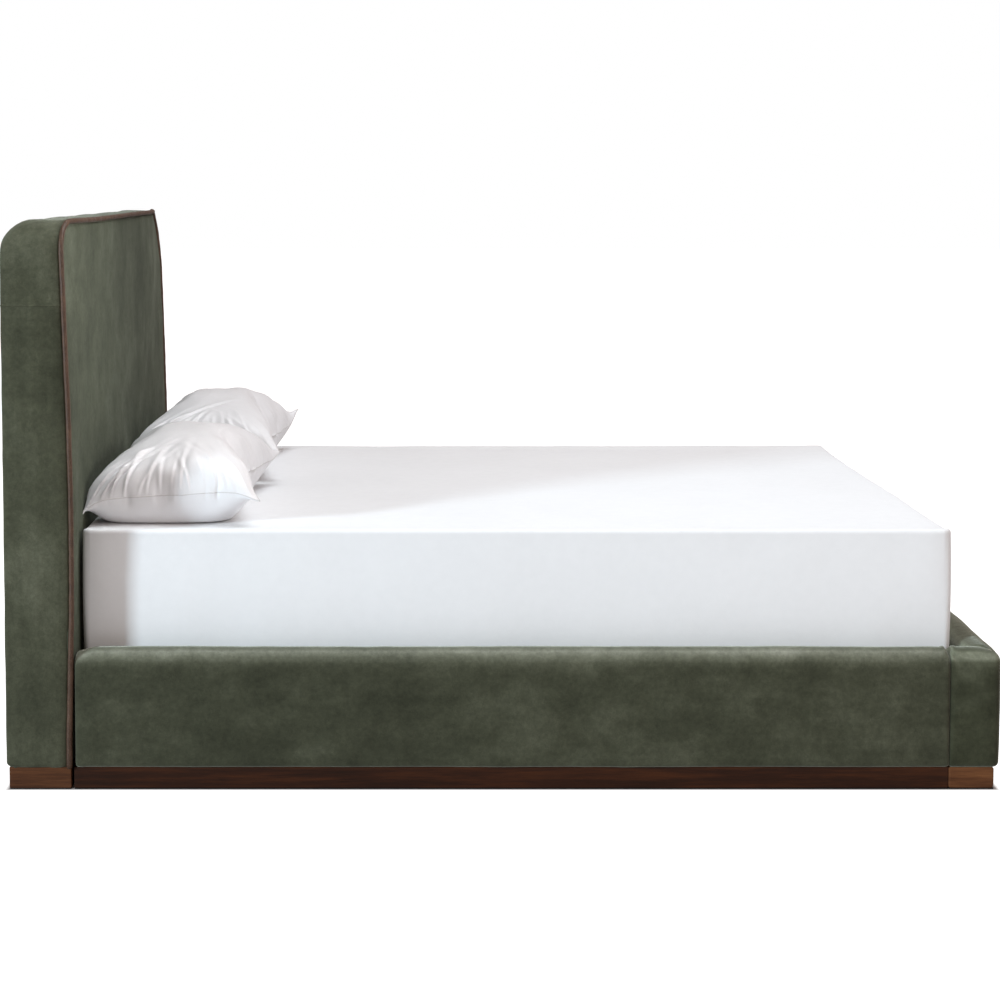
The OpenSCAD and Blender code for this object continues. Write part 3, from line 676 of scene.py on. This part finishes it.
def arch_section(r):
    """Closed loop round a rail: (depth in from the outer face, height), the inner bottom first."""
    h0, h1, t = PLINTH_TOP, RAIL_TOP, RAIL_T
    turn = np.radians(np.linspace(0, 90, 7))
    up = spaced(h0 + 0.004, h1 - r, 0.02)
    loop = [(t, z) for z in up[:-1]]
    loop += [(t - r + r * math.cos(q), h1 - r + r * math.sin(q)) for q in turn]
    loop += [(d, h1) for d in spaced(t - r, r, 0.010)[1:-1]]
    loop += [(r - r * math.sin(q), h1 - r + r * math.cos(q)) for q in turn]
    loop += [(0.0, z) for z in spaced(h1 - r, h0 + UNDER_R, 0.014)[1:-1]]
    loop += [(UNDER_R - UNDER_R * math.cos(q), h0 + UNDER_R - UNDER_R * math.sin(q)) for q in turn]
    loop += [(d, h0) for d in (0.022, 0.04, 0.06)]
    return np.array(loop)


def facing_out(n):
    """How far a rail's cloth faces out or up, from 0 to 1."""
    return np.clip(-n[:, 0], 0, 1) + np.clip(n[:, 1], 0, 1)


def section_normals(loop):
    """Outward normals of a closed section."""
    edge = np.roll(loop, -1, 0) - np.roll(loop, 1, 0)
    n = np.stack([-edge[:, 1], edge[:, 0]], -1)
    n /= np.linalg.norm(n, axis=1)[:, None]
    middle = loop.mean(0)
    flip = np.where(((loop - middle) * n).sum(1) < 0, -1.0, 1.0)
    return n * flip[:, None]


def padding(loop, n, p, seed):
    """How far the velvet stands proud of the plain section: crowned faces, uneven stuffing."""
    height = (loop[:, 1] - PLINTH_TOP) / (RAIL_TOP - PLINTH_TOP)
    outer = np.clip(-n[:, 0], 0, 1)
    inner = np.clip(n[:, 0], 0, 1)
    upper = np.clip(n[:, 1], 0, 1)
    crown = FACE_CROWN * outer * np.sin(math.pi * np.clip(height, 0, 1)) + 0.0004 * inner
    crown = crown + TOP_CROWN * upper * np.sin(math.pi * np.clip(loop[:, 0] / RAIL_T, 0, 1))
    uneven = 0.0008 * waves(p, 0.26, seed) + 0.0004 * waves(p, 0.085, seed + 1)
    return crown + uneven * (outer + 0.5 * upper)


def seam_puckers(along, height, seed):
    """Small folds that fan out from the top of the seam between rail and footboard."""
    dist = np.hypot(along, height - (RAIL_TOP - 0.004))
    angle = np.arctan2(RAIL_TOP + 0.01 - height, along + 1e-6)
    return 0.0016 * np.sin(angle * 9 + seed) * bell(dist / 0.035) * smooth(0.0, 0.012, along)


def rail_cover(side, name):
    """Velvet round one side rail, from the headboard to the seam at the footboard."""
    loop = arch_section(RAIL_R)
    n2 = section_normals(loop)
    end = 0.0075
    turn = np.radians([0, 22, 45, 67, 90])
    head = RAIL_X + 0.001 + end * (1 - np.sin(turn))[::-1]
    foot = RETURN_X - END_GAP - END_STEPS[::-1]
    xs = np.concatenate([head, spaced(RAIL_X + 0.020, RETURN_X - 0.02, 0.012), foot])
    inset = np.zeros(len(xs))
    inset[:5] = (end * (1 - np.cos(turn)))[::-1]
    inset[-7:] = END_INSETS[::-1]
    p = np.empty((len(xs), len(loop), 3))
    p[..., 0] = xs[:, None]
    p[..., 1] = side * (SIDE - loop[:, 0])
    p[..., 2] = loop[:, 1]
    lift = padding(loop, n2, p, 41 if side < 0 else 45)
    fade = smooth(0, 0.05, xs - RAIL_X)[:, None] * smooth(0, 0.010, RETURN_X - xs)[:, None]
    lift = lift * fade - inset[:, None]
    lift += seam_puckers(RETURN_X - p[..., 0], p[..., 2], 1.0) * facing_out(n2)
    p[..., 1] -= side * n2[:, 0] * lift
    p[..., 2] += n2[:, 1] * lift
    build(name + "_rail_velvet", *capped(p), VELVET_RAIL,
          replaces=(name + "_rail_cover", name + "_rail_foam"), slot="velvet")


def footboard_cover():
    """Velvet round the foot of the bed, from one rail's seam to the other."""
    loop = arch_section(FOOT_R)
    n2 = section_normals(loop)
    straight = FOOT - FOOT_R - RETURN_X
    arc = FOOT_R * math.pi / 2
    half_width = SIDE - FOOT_R
    total = straight + arc + half_width
    half = np.concatenate([END_STEPS + END_GAP, spaced(0.02, straight, 0.011)[:-1],
                           spaced(straight, straight + arc, 0.0045)[:-1], spaced(straight + arc, total, 0.02)])
    u = np.concatenate([half, 2 * total - half[-2::-1]])
    side = np.where(u < total, -1.0, 1.0)
    v = np.minimum(u, 2 * total - u)
    turn = np.clip((v - straight) / FOOT_R, 0, math.pi / 2)
    cx = RETURN_X + np.minimum(v, straight)
    px = cx + FOOT_R * np.sin(turn)
    py = -(half_width - np.maximum(v - straight - arc, 0) + FOOT_R * np.cos(turn))
    nx, ny = np.sin(turn), -np.cos(turn)
    inset = np.zeros(len(u))
    inset[:7], inset[-7:] = END_INSETS, END_INSETS[::-1]
    depth = loop[:, 0]
    reach = np.minimum(depth[None, :], FOOT_R)
    past = depth[None, :] - reach
    # past the corner's radius both faces meet on the mitre line
    mitre_x = np.where(turn > 0, 1.0, 0.0)
    mitre_y = np.where(turn < math.pi / 2, 1.0, 0.0)
    x = px[:, None] - nx[:, None] * reach - mitre_x[:, None] * past
    y = py[:, None] - ny[:, None] * reach + mitre_y[:, None] * past
    p = np.stack([x, y * -side[:, None], np.broadcast_to(loop[:, 1], x.shape)], -1)
    lift = padding(loop, n2, p, 51)
    fade = smooth(0, 0.010, v)[:, None]
    bend = bell((v - straight - arc / 2) / 0.03)[:, None]
    lift = lift * fade * (1 - 0.6 * bend) - inset[:, None]
    lift += seam_puckers(v[:, None] + 0 * x, p[..., 2], 2.4) * facing_out(n2)
    out_x, out_y = -n2[:, 0][None, :] * nx[:, None], -n2[:, 0][None, :] * ny[:, None]
    p[..., 0] += out_x * lift
    p[..., 1] += out_y * lift * -side[:, None]
    p[..., 2] += n2[:, 1] * lift
    p[..., 2] += FOOT_FULLNESS * smooth(0.02, 0.35, v - straight)[:, None] * np.clip(n2[:, 1], 0, 1)
    build("footboard_velvet", *capped(p), VELVET_FOOT,
          replaces=("footboard_cover", "footboard_foam", "footboard_return_foam"), slot="velvet",
          weld=True)


# ---------- mattress ----------


def mattress():
    """A mattress in a fitted sheet, drawn in under its lower edge."""
    (x0, y0, z0), (x1, y1, z1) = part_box("mattress")
    cx, length, width = (x0 + x1) / 2, x1 - x0, y1 - y0
    corner_r, edge_r = 0.022, 0.007
    signs = ((1, 1), (-1, 1), (-1, -1), (1, -1))

    def loop(inset, r_plan):
        l, w = length / 2 - inset, width / 2 - inset
        r = max(min(r_plan, l - 0.001, w - 0.001), 0.0015)
        pts, nrm = [], []
        for k in range(4):
            for q in np.linspace(0, math.pi / 2, 12):
                n = (math.cos(math.pi / 2 * k + q), math.sin(math.pi / 2 * k + q))
                pts.append((signs[k][0] * (l - r) + r * n[0], signs[k][1] * (w - r) + r * n[1]))
                nrm.append(n)
            # straight run to the next corner
            sx, sy = signs[(k + 1) % 4]
            a, b = np.array(pts[-1]), np.array((sx * (l - r) + r * n[0], sy * (w - r) + r * n[1]))
            for share in np.linspace(0, 1, (58, 44)[k % 2] + 1)[1:-1]:
                pts.append(tuple(a + (b - a) * share))
                nrm.append(n)
        return np.array(pts), np.array(nrm)

    rings, ring_normals = [], []
    turn = np.radians(np.linspace(0, 90, 8))

    def ring(inset, z, nz):
        pts, nrm = loop(inset, corner_r - inset)
        rings.append(np.column_stack([pts[:, 0] + cx, pts[:, 1], np.full(len(pts), z)]))
        keep = math.sqrt(max(0.0, 1 - nz * nz))
        ring_normals.append(np.column_stack([nrm * keep, np.full(len(pts), nz)]))

    for inset in (0.70, 0.45, 0.25, 0.16, 0.132, 0.126, 0.12, 0.10, 0.07, 0.045):
        ring(inset, z0, -1.0)
    for q in turn:
        ring(edge_r * (1 - math.sin(q)), z0 + edge_r * (1 - math.cos(q)), -math.cos(q))
    for z in spaced(z0 + edge_r, z1 - edge_r, 0.022)[1:-1]:
        ring(0.0, z, 0.0)
    for q in turn:
        ring(edge_r * (1 - math.cos(q)), z1 - edge_r * (1 - math.sin(q)), math.sin(q))
    for inset in (0.028, 0.04, 0.06, 0.09, 0.13, 0.18, 0.24, 0.31, 0.39, 0.47, 0.55, 0.63, 0.71, 0.75):
        ring(inset, z1, 1.0)
    p, n = np.array(rings), np.array(ring_normals)
    height = (p[..., 2] - z0) / (z1 - z0)
    upright = np.sqrt(np.clip(1 - n[..., 2] ** 2, 0, 1))
    lift = 0.0032 * np.sin(math.pi * height) * upright - 0.0012
    lift += 0.0008 * waves(p, 0.55, 61) + 0.0004 * waves(p, 0.2, 62, stretch=(1, 1, 0.35))
    out_x, out_y = np.abs(p[..., 0] - cx) - length / 2, np.abs(p[..., 1]) - width / 2
    corner = bell(np.hypot(out_x + 0.02, out_y + 0.02) / 0.05)
    angle = np.arctan2(out_y + 0.06, out_x + 0.06)
    lift += 0.0009 * np.sin(angle * 16 + height * 3) * corner * upright
    top = np.clip(n[..., 2], 0, 1)
    lift += 0.0012 * top * smooth(0.0, 0.02, height - 0.9)
    p = p + n * lift[..., None]
    p[..., 0] += np.where(p[..., 0] < cx, 0.006, 0.0015) * np.clip((p[..., 0] - cx) / (length / 2), -1, 1)
    p[..., 2] += (0.003 * top * smooth(0.69, 0.745, np.abs(p[..., 1]))
                  + 0.003 * top * smooth(0.70, 0.75, -p[..., 1]))
    obj = build("mattress_in_sheet", p, lidded(*p.shape[:2]), SHEET, body="mattress", replaces=("mattress",),
                slot="fitted_sheet")


# ---------- pillows ----------

PILLOW_FLAT = (0.50, 0.755)
PILLOW_GRID = (72, 108)
SEAM_UP = 0.067


def pillow_layers(seed):
    """The upper and lower cloth, flat and sewn round the edge, with a little filling between them."""
    u, v = np.meshgrid(*(np.linspace(-1, 1, n + 1) for n in PILLOW_GRID), indexing="ij")
    flat = np.stack([u * PILLOW_FLAT[0] / 2, v * PILLOW_FLAT[1] / 2, np.zeros_like(u)], -1)
    rim = np.sqrt(np.clip((1 - u ** 2) * (1 - v ** 2), 0, 1))
    puff = 0.016 * rim * (1 + 0.15 * waves(flat, 0.06, seed))
    return flat + puff[..., None] * (0, 0, 1), flat - puff[..., None] * (0, 0, 1)


def sewn(upper, lower):
    """One closed mesh from two grids that share their outer edge: vertices and faces."""
    rows, cols = upper.shape[:2]
    index = np.arange(rows * cols).reshape(rows, cols)
    under = index.copy()
    under[1:-1, 1:-1] = rows * cols + np.arange((rows - 2) * (cols - 2)).reshape(rows - 2, cols - 2)
    verts = np.concatenate([upper.reshape(-1, 3), lower[1:-1, 1:-1].reshape(-1, 3)])
    faces = []
    for k, grid in ((1, index), (-1, under)):
        quads = np.stack([grid[:-1, :-1], grid[1:, :-1], grid[1:, 1:], grid[:-1, 1:]], -1).reshape(-1, 4)
        faces += [tuple(int(i) for i in q[::k]) for q in quads]
    return verts, faces, under


def blow_up(upper, lower, frames=32):
    """The sewn cloth filled by pressure; returns both layers."""
    verts, faces, under = sewn(upper, lower)
    mesh = new_mesh("pillow_cloth", verts, faces)
    obj = new_object("pillow_cloth", mesh)
    scene = bpy.context.scene
    cloth = obj.modifiers.new("cloth", "CLOTH")
    c = cloth.settings
    c.quality, c.mass = 8, 0.25
    c.tension_stiffness = c.compression_stiffness = 80
    c.shear_stiffness, c.bending_stiffness = 30, 0.05
    c.tension_damping = c.compression_damping = c.shear_damping = 5
    c.air_damping = 3
    c.use_pressure, c.uniform_pressure_force = True, 6.0
    c.effector_weights.gravity = 0
    cloth.collision_settings.use_collision = False
    scene.frame_start, scene.frame_end = 1, frames
    cloth.point_cache.frame_start, cloth.point_cache.frame_end = 1, frames
    for f in range(1, frames + 1):
        scene.frame_set(f)
    done = obj.evaluated_get(bpy.context.evaluated_depsgraph_get())
    co = np.empty(len(verts) * 3)
    done.data.vertices.foreach_get("co", co)
    scene.frame_set(1)
    bpy.data.objects.remove(obj)
    bpy.data.meshes.remove(mesh)
    co = co.reshape(-1, 3)
    return co[:upper.shape[0] * upper.shape[1]].reshape(upper.shape), co[under]


def calmed(grid, times):
    """The same cloth with its fine wrinkles eased out; the sewn edge stays where it is."""
    grid = grid.copy()
    for _ in range(times):
        grid[1:-1, 1:-1] = (grid[:-2, 1:-1] + grid[2:, 1:-1] + grid[1:-1, :-2] + grid[1:-1, 2:]) / 4
    return grid


def refined(grid):
    """Twice as many steps each way, by cubic interpolation."""
    for axis in (0, 1):
        g = np.moveaxis(grid, axis, 0)
        pad = np.concatenate([2 * g[:1] - g[1:2], g, 2 * g[-1:] - g[-2:-1]])
        out = np.empty((2 * len(g) - 1, *g.shape[1:]))
        out[::2] = g
        out[1::2] = (9 * (pad[1:-2] + pad[2:-1]) - (pad[:-3] + pad[3:])) / 16
        grid = np.moveaxis(out, 0, axis)
    return grid


def grid_normals(grid):
    """Unit normals of a grid of points."""
    n = np.cross(np.gradient(grid, axis=0), np.gradient(grid, axis=1))
    return n / np.maximum(np.linalg.norm(n, axis=-1), 1e-9)[..., None]


def gathers(along, away, half, seed, spacing, height, reach):
    """Folds that start at a seam and lean towards its middle: along it and away from it in metres."""
    rng = np.random.default_rng(seed)
    total = np.zeros(along.shape)
    for at in np.arange(-half + spacing * 0.4, half - spacing * 0.3, spacing):
        at = at + rng.uniform(-0.3, 0.3) * spacing
        wide = spacing * rng.uniform(0.11, 0.19)
        tall = height * rng.uniform(0.5, 1.15) * (1.5 if at < -half * 0.45 else 0.48)
        long = reach * rng.uniform(0.6, 1.3)
        lean = -at / half * rng.uniform(0.5, 0.9) + rng.uniform(-0.15, 0.15)
        across = (along - at - lean * away) / (wide * (0.6 + away / 0.09))
        fold = bell(across) - 0.8 * bell((across - 1.15) / 0.8)
        total += tall * fold * bell(away / long)
    return total * smooth(0.0, 0.016, away)


def pillow(name, layers, seed, stand, ears):
    """One pillow at rest on the mattress, against the headboard; ears lift or drop its four corners."""
    (x0, y0, z0), (x1, y1, _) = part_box(name)
    width, length = x1 - x0 - 0.004, y1 - y0 - 0.004
    upper, lower = refined(calmed(layers[0], 10)), refined(calmed(layers[1], 30))
    both = np.stack([upper, lower])
    both = both - (both.max((0, 1, 2)) + both.min((0, 1, 2))) / 2
    both[..., :2] *= np.array([width, length]) / (both.max((0, 1, 2)) - both.min((0, 1, 2)))[:2]
    rise = both[..., 2] / np.abs(both[..., 2]).max()
    rows, cols = upper.shape[:2]
    u, v = np.meshgrid(np.linspace(-1, 1, rows), np.linspace(-1, 1, cols), indexing="ij")
    seam_z = SEAM_UP + 0.006 * (1 - u ** 2) * v ** 4 + 0.006 * u - 0.006 * np.abs(u * v) ** 6
    both[0, ..., 2] = np.maximum(rise[0], 0) ** (0.64 + 0.05 * smooth(0.3, 1, -u)) * (stand - SEAM_UP)
    both[1, ..., 2] = -np.maximum(-rise[1], 0) ** (0.72 + 0.25 * smooth(0.0, 1, u)) * 0.135
    both[..., 2] += seam_z
    both[..., 0] -= 0.014 * smooth(0.1, 1.0, -u)

    side, end = (1 - np.abs(v)) * length / 2, (1 - np.abs(u)) * width / 2
    fold = np.zeros(u.shape)
    for k, half_side in ((0, v < 0), (1, v >= 0)):
        fold += half_side * gathers(u * width / 2, side * 1.5, width / 2, seed + k, 0.027, 0.0056, 0.17)
        fold += (u < 0 if k else u >= 0) * gathers(v * length / 2, end * 1.5, length / 2, seed + 5 + k, 0.06,
                                                     0.0042, 0.10)
    p = both[0]
    drape = (0.0010 * waves(p, 0.16, seed + 3, stretch=(1, 0.5, 1))
             + 0.0006 * waves(p, 0.05, seed + 4, stretch=(1, 0.4, 1)))
    open_part = smooth(0.0, 0.03, np.minimum(side, end))
    both[0] += grid_normals(p) * (fold + drape * open_part)[..., None]
    both[1] += grid_normals(both[1]) * (0.0008 * waves(both[1], 0.12, seed + 7) * open_part)[..., None]

    for (su, sv), lift in ears.items():
        near = bell(np.hypot((1 - u * su) * width / 2, (1 - v * sv) * length / 2) / 0.032)
        both[..., 2] += (seam_z - both[..., 2]) * 0.75 * near + lift * near
        both[..., 0] += su * 0.008 * near
    ease = 0.008
    z = both[..., 2]
    both[..., 2] = np.maximum(np.where(z < ease, ease * np.exp(np.minimum((z - ease) / ease, 0)), z), 0.0006)
    both += np.array([(x0 + x1) / 2, (y0 + y1) / 2, z0])
    soft = 0.0025
    past = np.clip((both[..., 0] - x0) / soft, -30, 30)
    both[..., 0] = np.where(past < 25, x0 + soft * np.log1p(np.exp(past)), both[..., 0])
    flap = bell(np.hypot((1 + u) * width / 2, (1 + v) * length / 2) / 0.022)
    both[..., 0] -= 0.0030 * flap
    both[..., 1] -= 0.004 * flap
    case = build(name + "_case", *sewn(*both)[:2], PILLOW, body=name, replaces=(name,), slot="pillow_cotton")
    g = both[0]
    ring = np.concatenate([g[0, :-1], g[:-1, -1], g[-1, :0:-1], g[:0:-1, 0], g[:1, 0]])
    build(name + "_seam", *tube(ring, 0.0012, sides=6), PILLOW_SEAM, body=name, slot="pillow_cotton")


# ---------- the carried-over CAD pieces ----------

LEGS, STUDS, PADS = ([f"{part}_{k}" for k in (1, 2, 3)] for part in ("centre_leg", "level_stud", "level_pad"))
FINISH = {
    WALNUT_END: ["headboard_plinth_ends", "footboard_plinth_ends"],
    WALNUT_X: ["left_rail_plinth", "right_rail_plinth"],
    WALNUT_Y: ["headboard_plinth_boards", "footboard_plinth_board"],
    PINE_X: ["left_rail_board", "right_rail_board", "left_slat_ledger", "right_slat_ledger",
             "footboard_return_boards", "centre_beam"],
    PINE_Y: ["headboard_top_rail", "headboard_bottom_rail", "footboard_board", "slats"],
    PINE_Z: ["headboard_stiles", "headboard_studs", "headboard_corner_blocks", *LEGS],
    PLYWOOD: ["headboard_front_board", "headboard_back_board"],
    STEEL: ["head_brackets", "foot_splice_plates", "beam_hangers", "leg_top_plates"],
    ZINC: ["ledger_screws", "head_bolts", "head_nuts", "bracket_screws", "leg_inserts", "slat_screws", *STUDS],
    PLASTIC: PADS,
    WEBBING: ["slat_straps"],
    FELT: ["felt_glides"],
}
ROUNDED = {0.0018: FINISH[WALNUT_X] + FINISH[WALNUT_Y] + ["headboard_plinth_ends"],
           0.005: ["slats", "footboard_plinth_ends"],
           0.003: ["centre_beam", *LEGS],
           0.0006: FINISH[STEEL]}


def finish_cad():
    """Materials for the CAD pieces that show, and small bevels on their edges."""
    for material, nodes in FINISH.items():
        for node in nodes:
            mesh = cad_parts[node].data
            mesh.materials.clear()
            mesh.materials.append(material)
    for width, nodes in ROUNDED.items():
        for node in nodes:
            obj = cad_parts[node]
            weld = obj.modifiers.new("weld", "WELD")
            weld.merge_threshold = 1e-5
            bevel = obj.modifiers.new("edges", "BEVEL")
            bevel.width, bevel.segments, bevel.limit_method = width, 3, "ANGLE"
            bevel.angle_limit = math.radians(40)


# ---------- camera, lights and floor ----------


def studio():
    """The photograph's camera, soft lights, white surroundings and a pale floor."""
    scene = bpy.context.scene
    camera = bpy.data.cameras.new("camera")
    camera.lens, camera.sensor_width = 70.24, 36.0
    camera.shift_x, camera.shift_y = 0.0748, -0.185
    eye = new_object("camera", camera)
    eye.location = (-0.1791, -5.2796, 1.3843)
    eye.rotation_euler = (math.radians(90 - 3.67), 0, 0)
    scene.camera = eye

    world = bpy.data.worlds.new("studio")
    world.use_nodes = True
    tree = world.node_tree
    tree.nodes.clear()
    out = tree.nodes.new("ShaderNodeOutputWorld")
    # the eye sees white; the bed is lit by a warmer, dimmer surrounding
    seen, felt = tree.nodes.new("ShaderNodeBackground"), tree.nodes.new("ShaderNodeBackground")
    seen.inputs["Color"].default_value = (1, 1, 1, 1)
    felt.inputs["Color"].default_value = (1.0, 0.83, 0.77, 1)
    felt.inputs["Strength"].default_value = 0.40
    path, mix = tree.nodes.new("ShaderNodeLightPath"), tree.nodes.new("ShaderNodeMixShader")
    tree.links.new(path.outputs["Is Camera Ray"], mix.inputs[0])
    tree.links.new(felt.outputs[0], mix.inputs[1])
    tree.links.new(seen.outputs[0], mix.inputs[2])
    tree.links.new(mix.outputs[0], out.inputs[0])
    scene.world = world

    def softbox(name, place, at, size, watts, colour, spread=180):
        lamp = bpy.data.lights.new(name, "AREA")
        lamp.spread = math.radians(spread)
        lamp.shape, lamp.size, lamp.size_y, lamp.energy, lamp.color = "RECTANGLE", *size, watts, colour
        obj = new_object(name, lamp)
        obj.location = place
        obj.rotation_euler = (Vector(at) - Vector(place)).to_track_quat("-Z", "Y").to_euler()
        obj.visible_camera = False

    softbox("key", (-8.3, -6.2, 2.7), (0.0, -0.8, 0.5), (1.4, 1.4), 910, (0.75, 0.91, 1.0))
    softbox("top", (0.5, -0.3, 5.0), (0.3, 0, 0.5), (3.0, 2.4), 168, (0.90, 0.965, 1.0))
    softbox("fill", (1.9, -3.7, 1.7), (-0.95, -0.7, 0.8), (1.2, 1.2), 30, (1.0, 0.96, 0.92))
    softbox("panel", (1.4, -0.95, 1.9), (-0.99, -0.72, 1.15), (0.6, 0.6), 1.5, (1.0, 0.98, 0.95), 32)

    floor = Mat("floor_white", roughness=0.9, specular_ior_level=0.1, emission_color=(1, 1, 1, 1))
    floor.colour(floor.ramp(floor.noise(0.7, 2, 0.5), [(0.3, (0.52, 0.50, 0.49)), (0.7, (0.55, 0.53, 0.52))]))
    # the floor glows to the eye only, so that it looks white without lighting the bed from below
    spot = floor.add("SeparateXYZ", {0: floor.place}).outputs
    past_x = floor.math("SUBTRACT", floor.math("ABSOLUTE", spot[X]), high("left_rail_plinth", Y) + 0.298)
    past_y = floor.math("SUBTRACT", floor.math("ABSOLUTE", spot[Y]), high("left_rail_plinth", Y))
    outside = floor.range(floor.math("MAXIMUM", past_x, past_y), 0.001, 0.012, 0.0, 1.0)
    glow = floor.math("MULTIPLY", floor.add("LightPath").outputs["Is Camera Ray"], outside)
    floor.tree.links.new(glow, floor.bsdf.inputs["Emission Strength"])
    size = 40.0
    corners = [(-size, -size, 0), (size, -size, 0), (size, size, 0), (-size, size, 0)]
    ground = new_object("floor", new_mesh("floor", corners, [(0, 1, 2, 3)]))
    ground.data.materials.append(floor.material)

    view = scene.view_settings
    view.view_transform, view.look = "Standard", "None"
    view.exposure, view.gamma = 0.0, 1.0


studio()
finish_cad()
band_cover()
front_panel()
piping()
back_cover()
rail_cover(-1, "right")
rail_cover(1, "left")
footboard_cover()
mattress()
layers = pillow_layers(71)
layers = blow_up(*layers)
pillow("near_pillow", layers, 101, 0.206,
       {(-1, -1): -0.022, (1, -1): -0.006, (1, 1): 0.023, (-1, 1): 0.0})
pillow("far_pillow", [g[:, ::-1] * (1, -1, 1) for g in layers], 131, 0.222,
       {(-1, -1): 0.0, (1, -1): 0.018, (1, 1): 0.054, (-1, 1): -0.010})
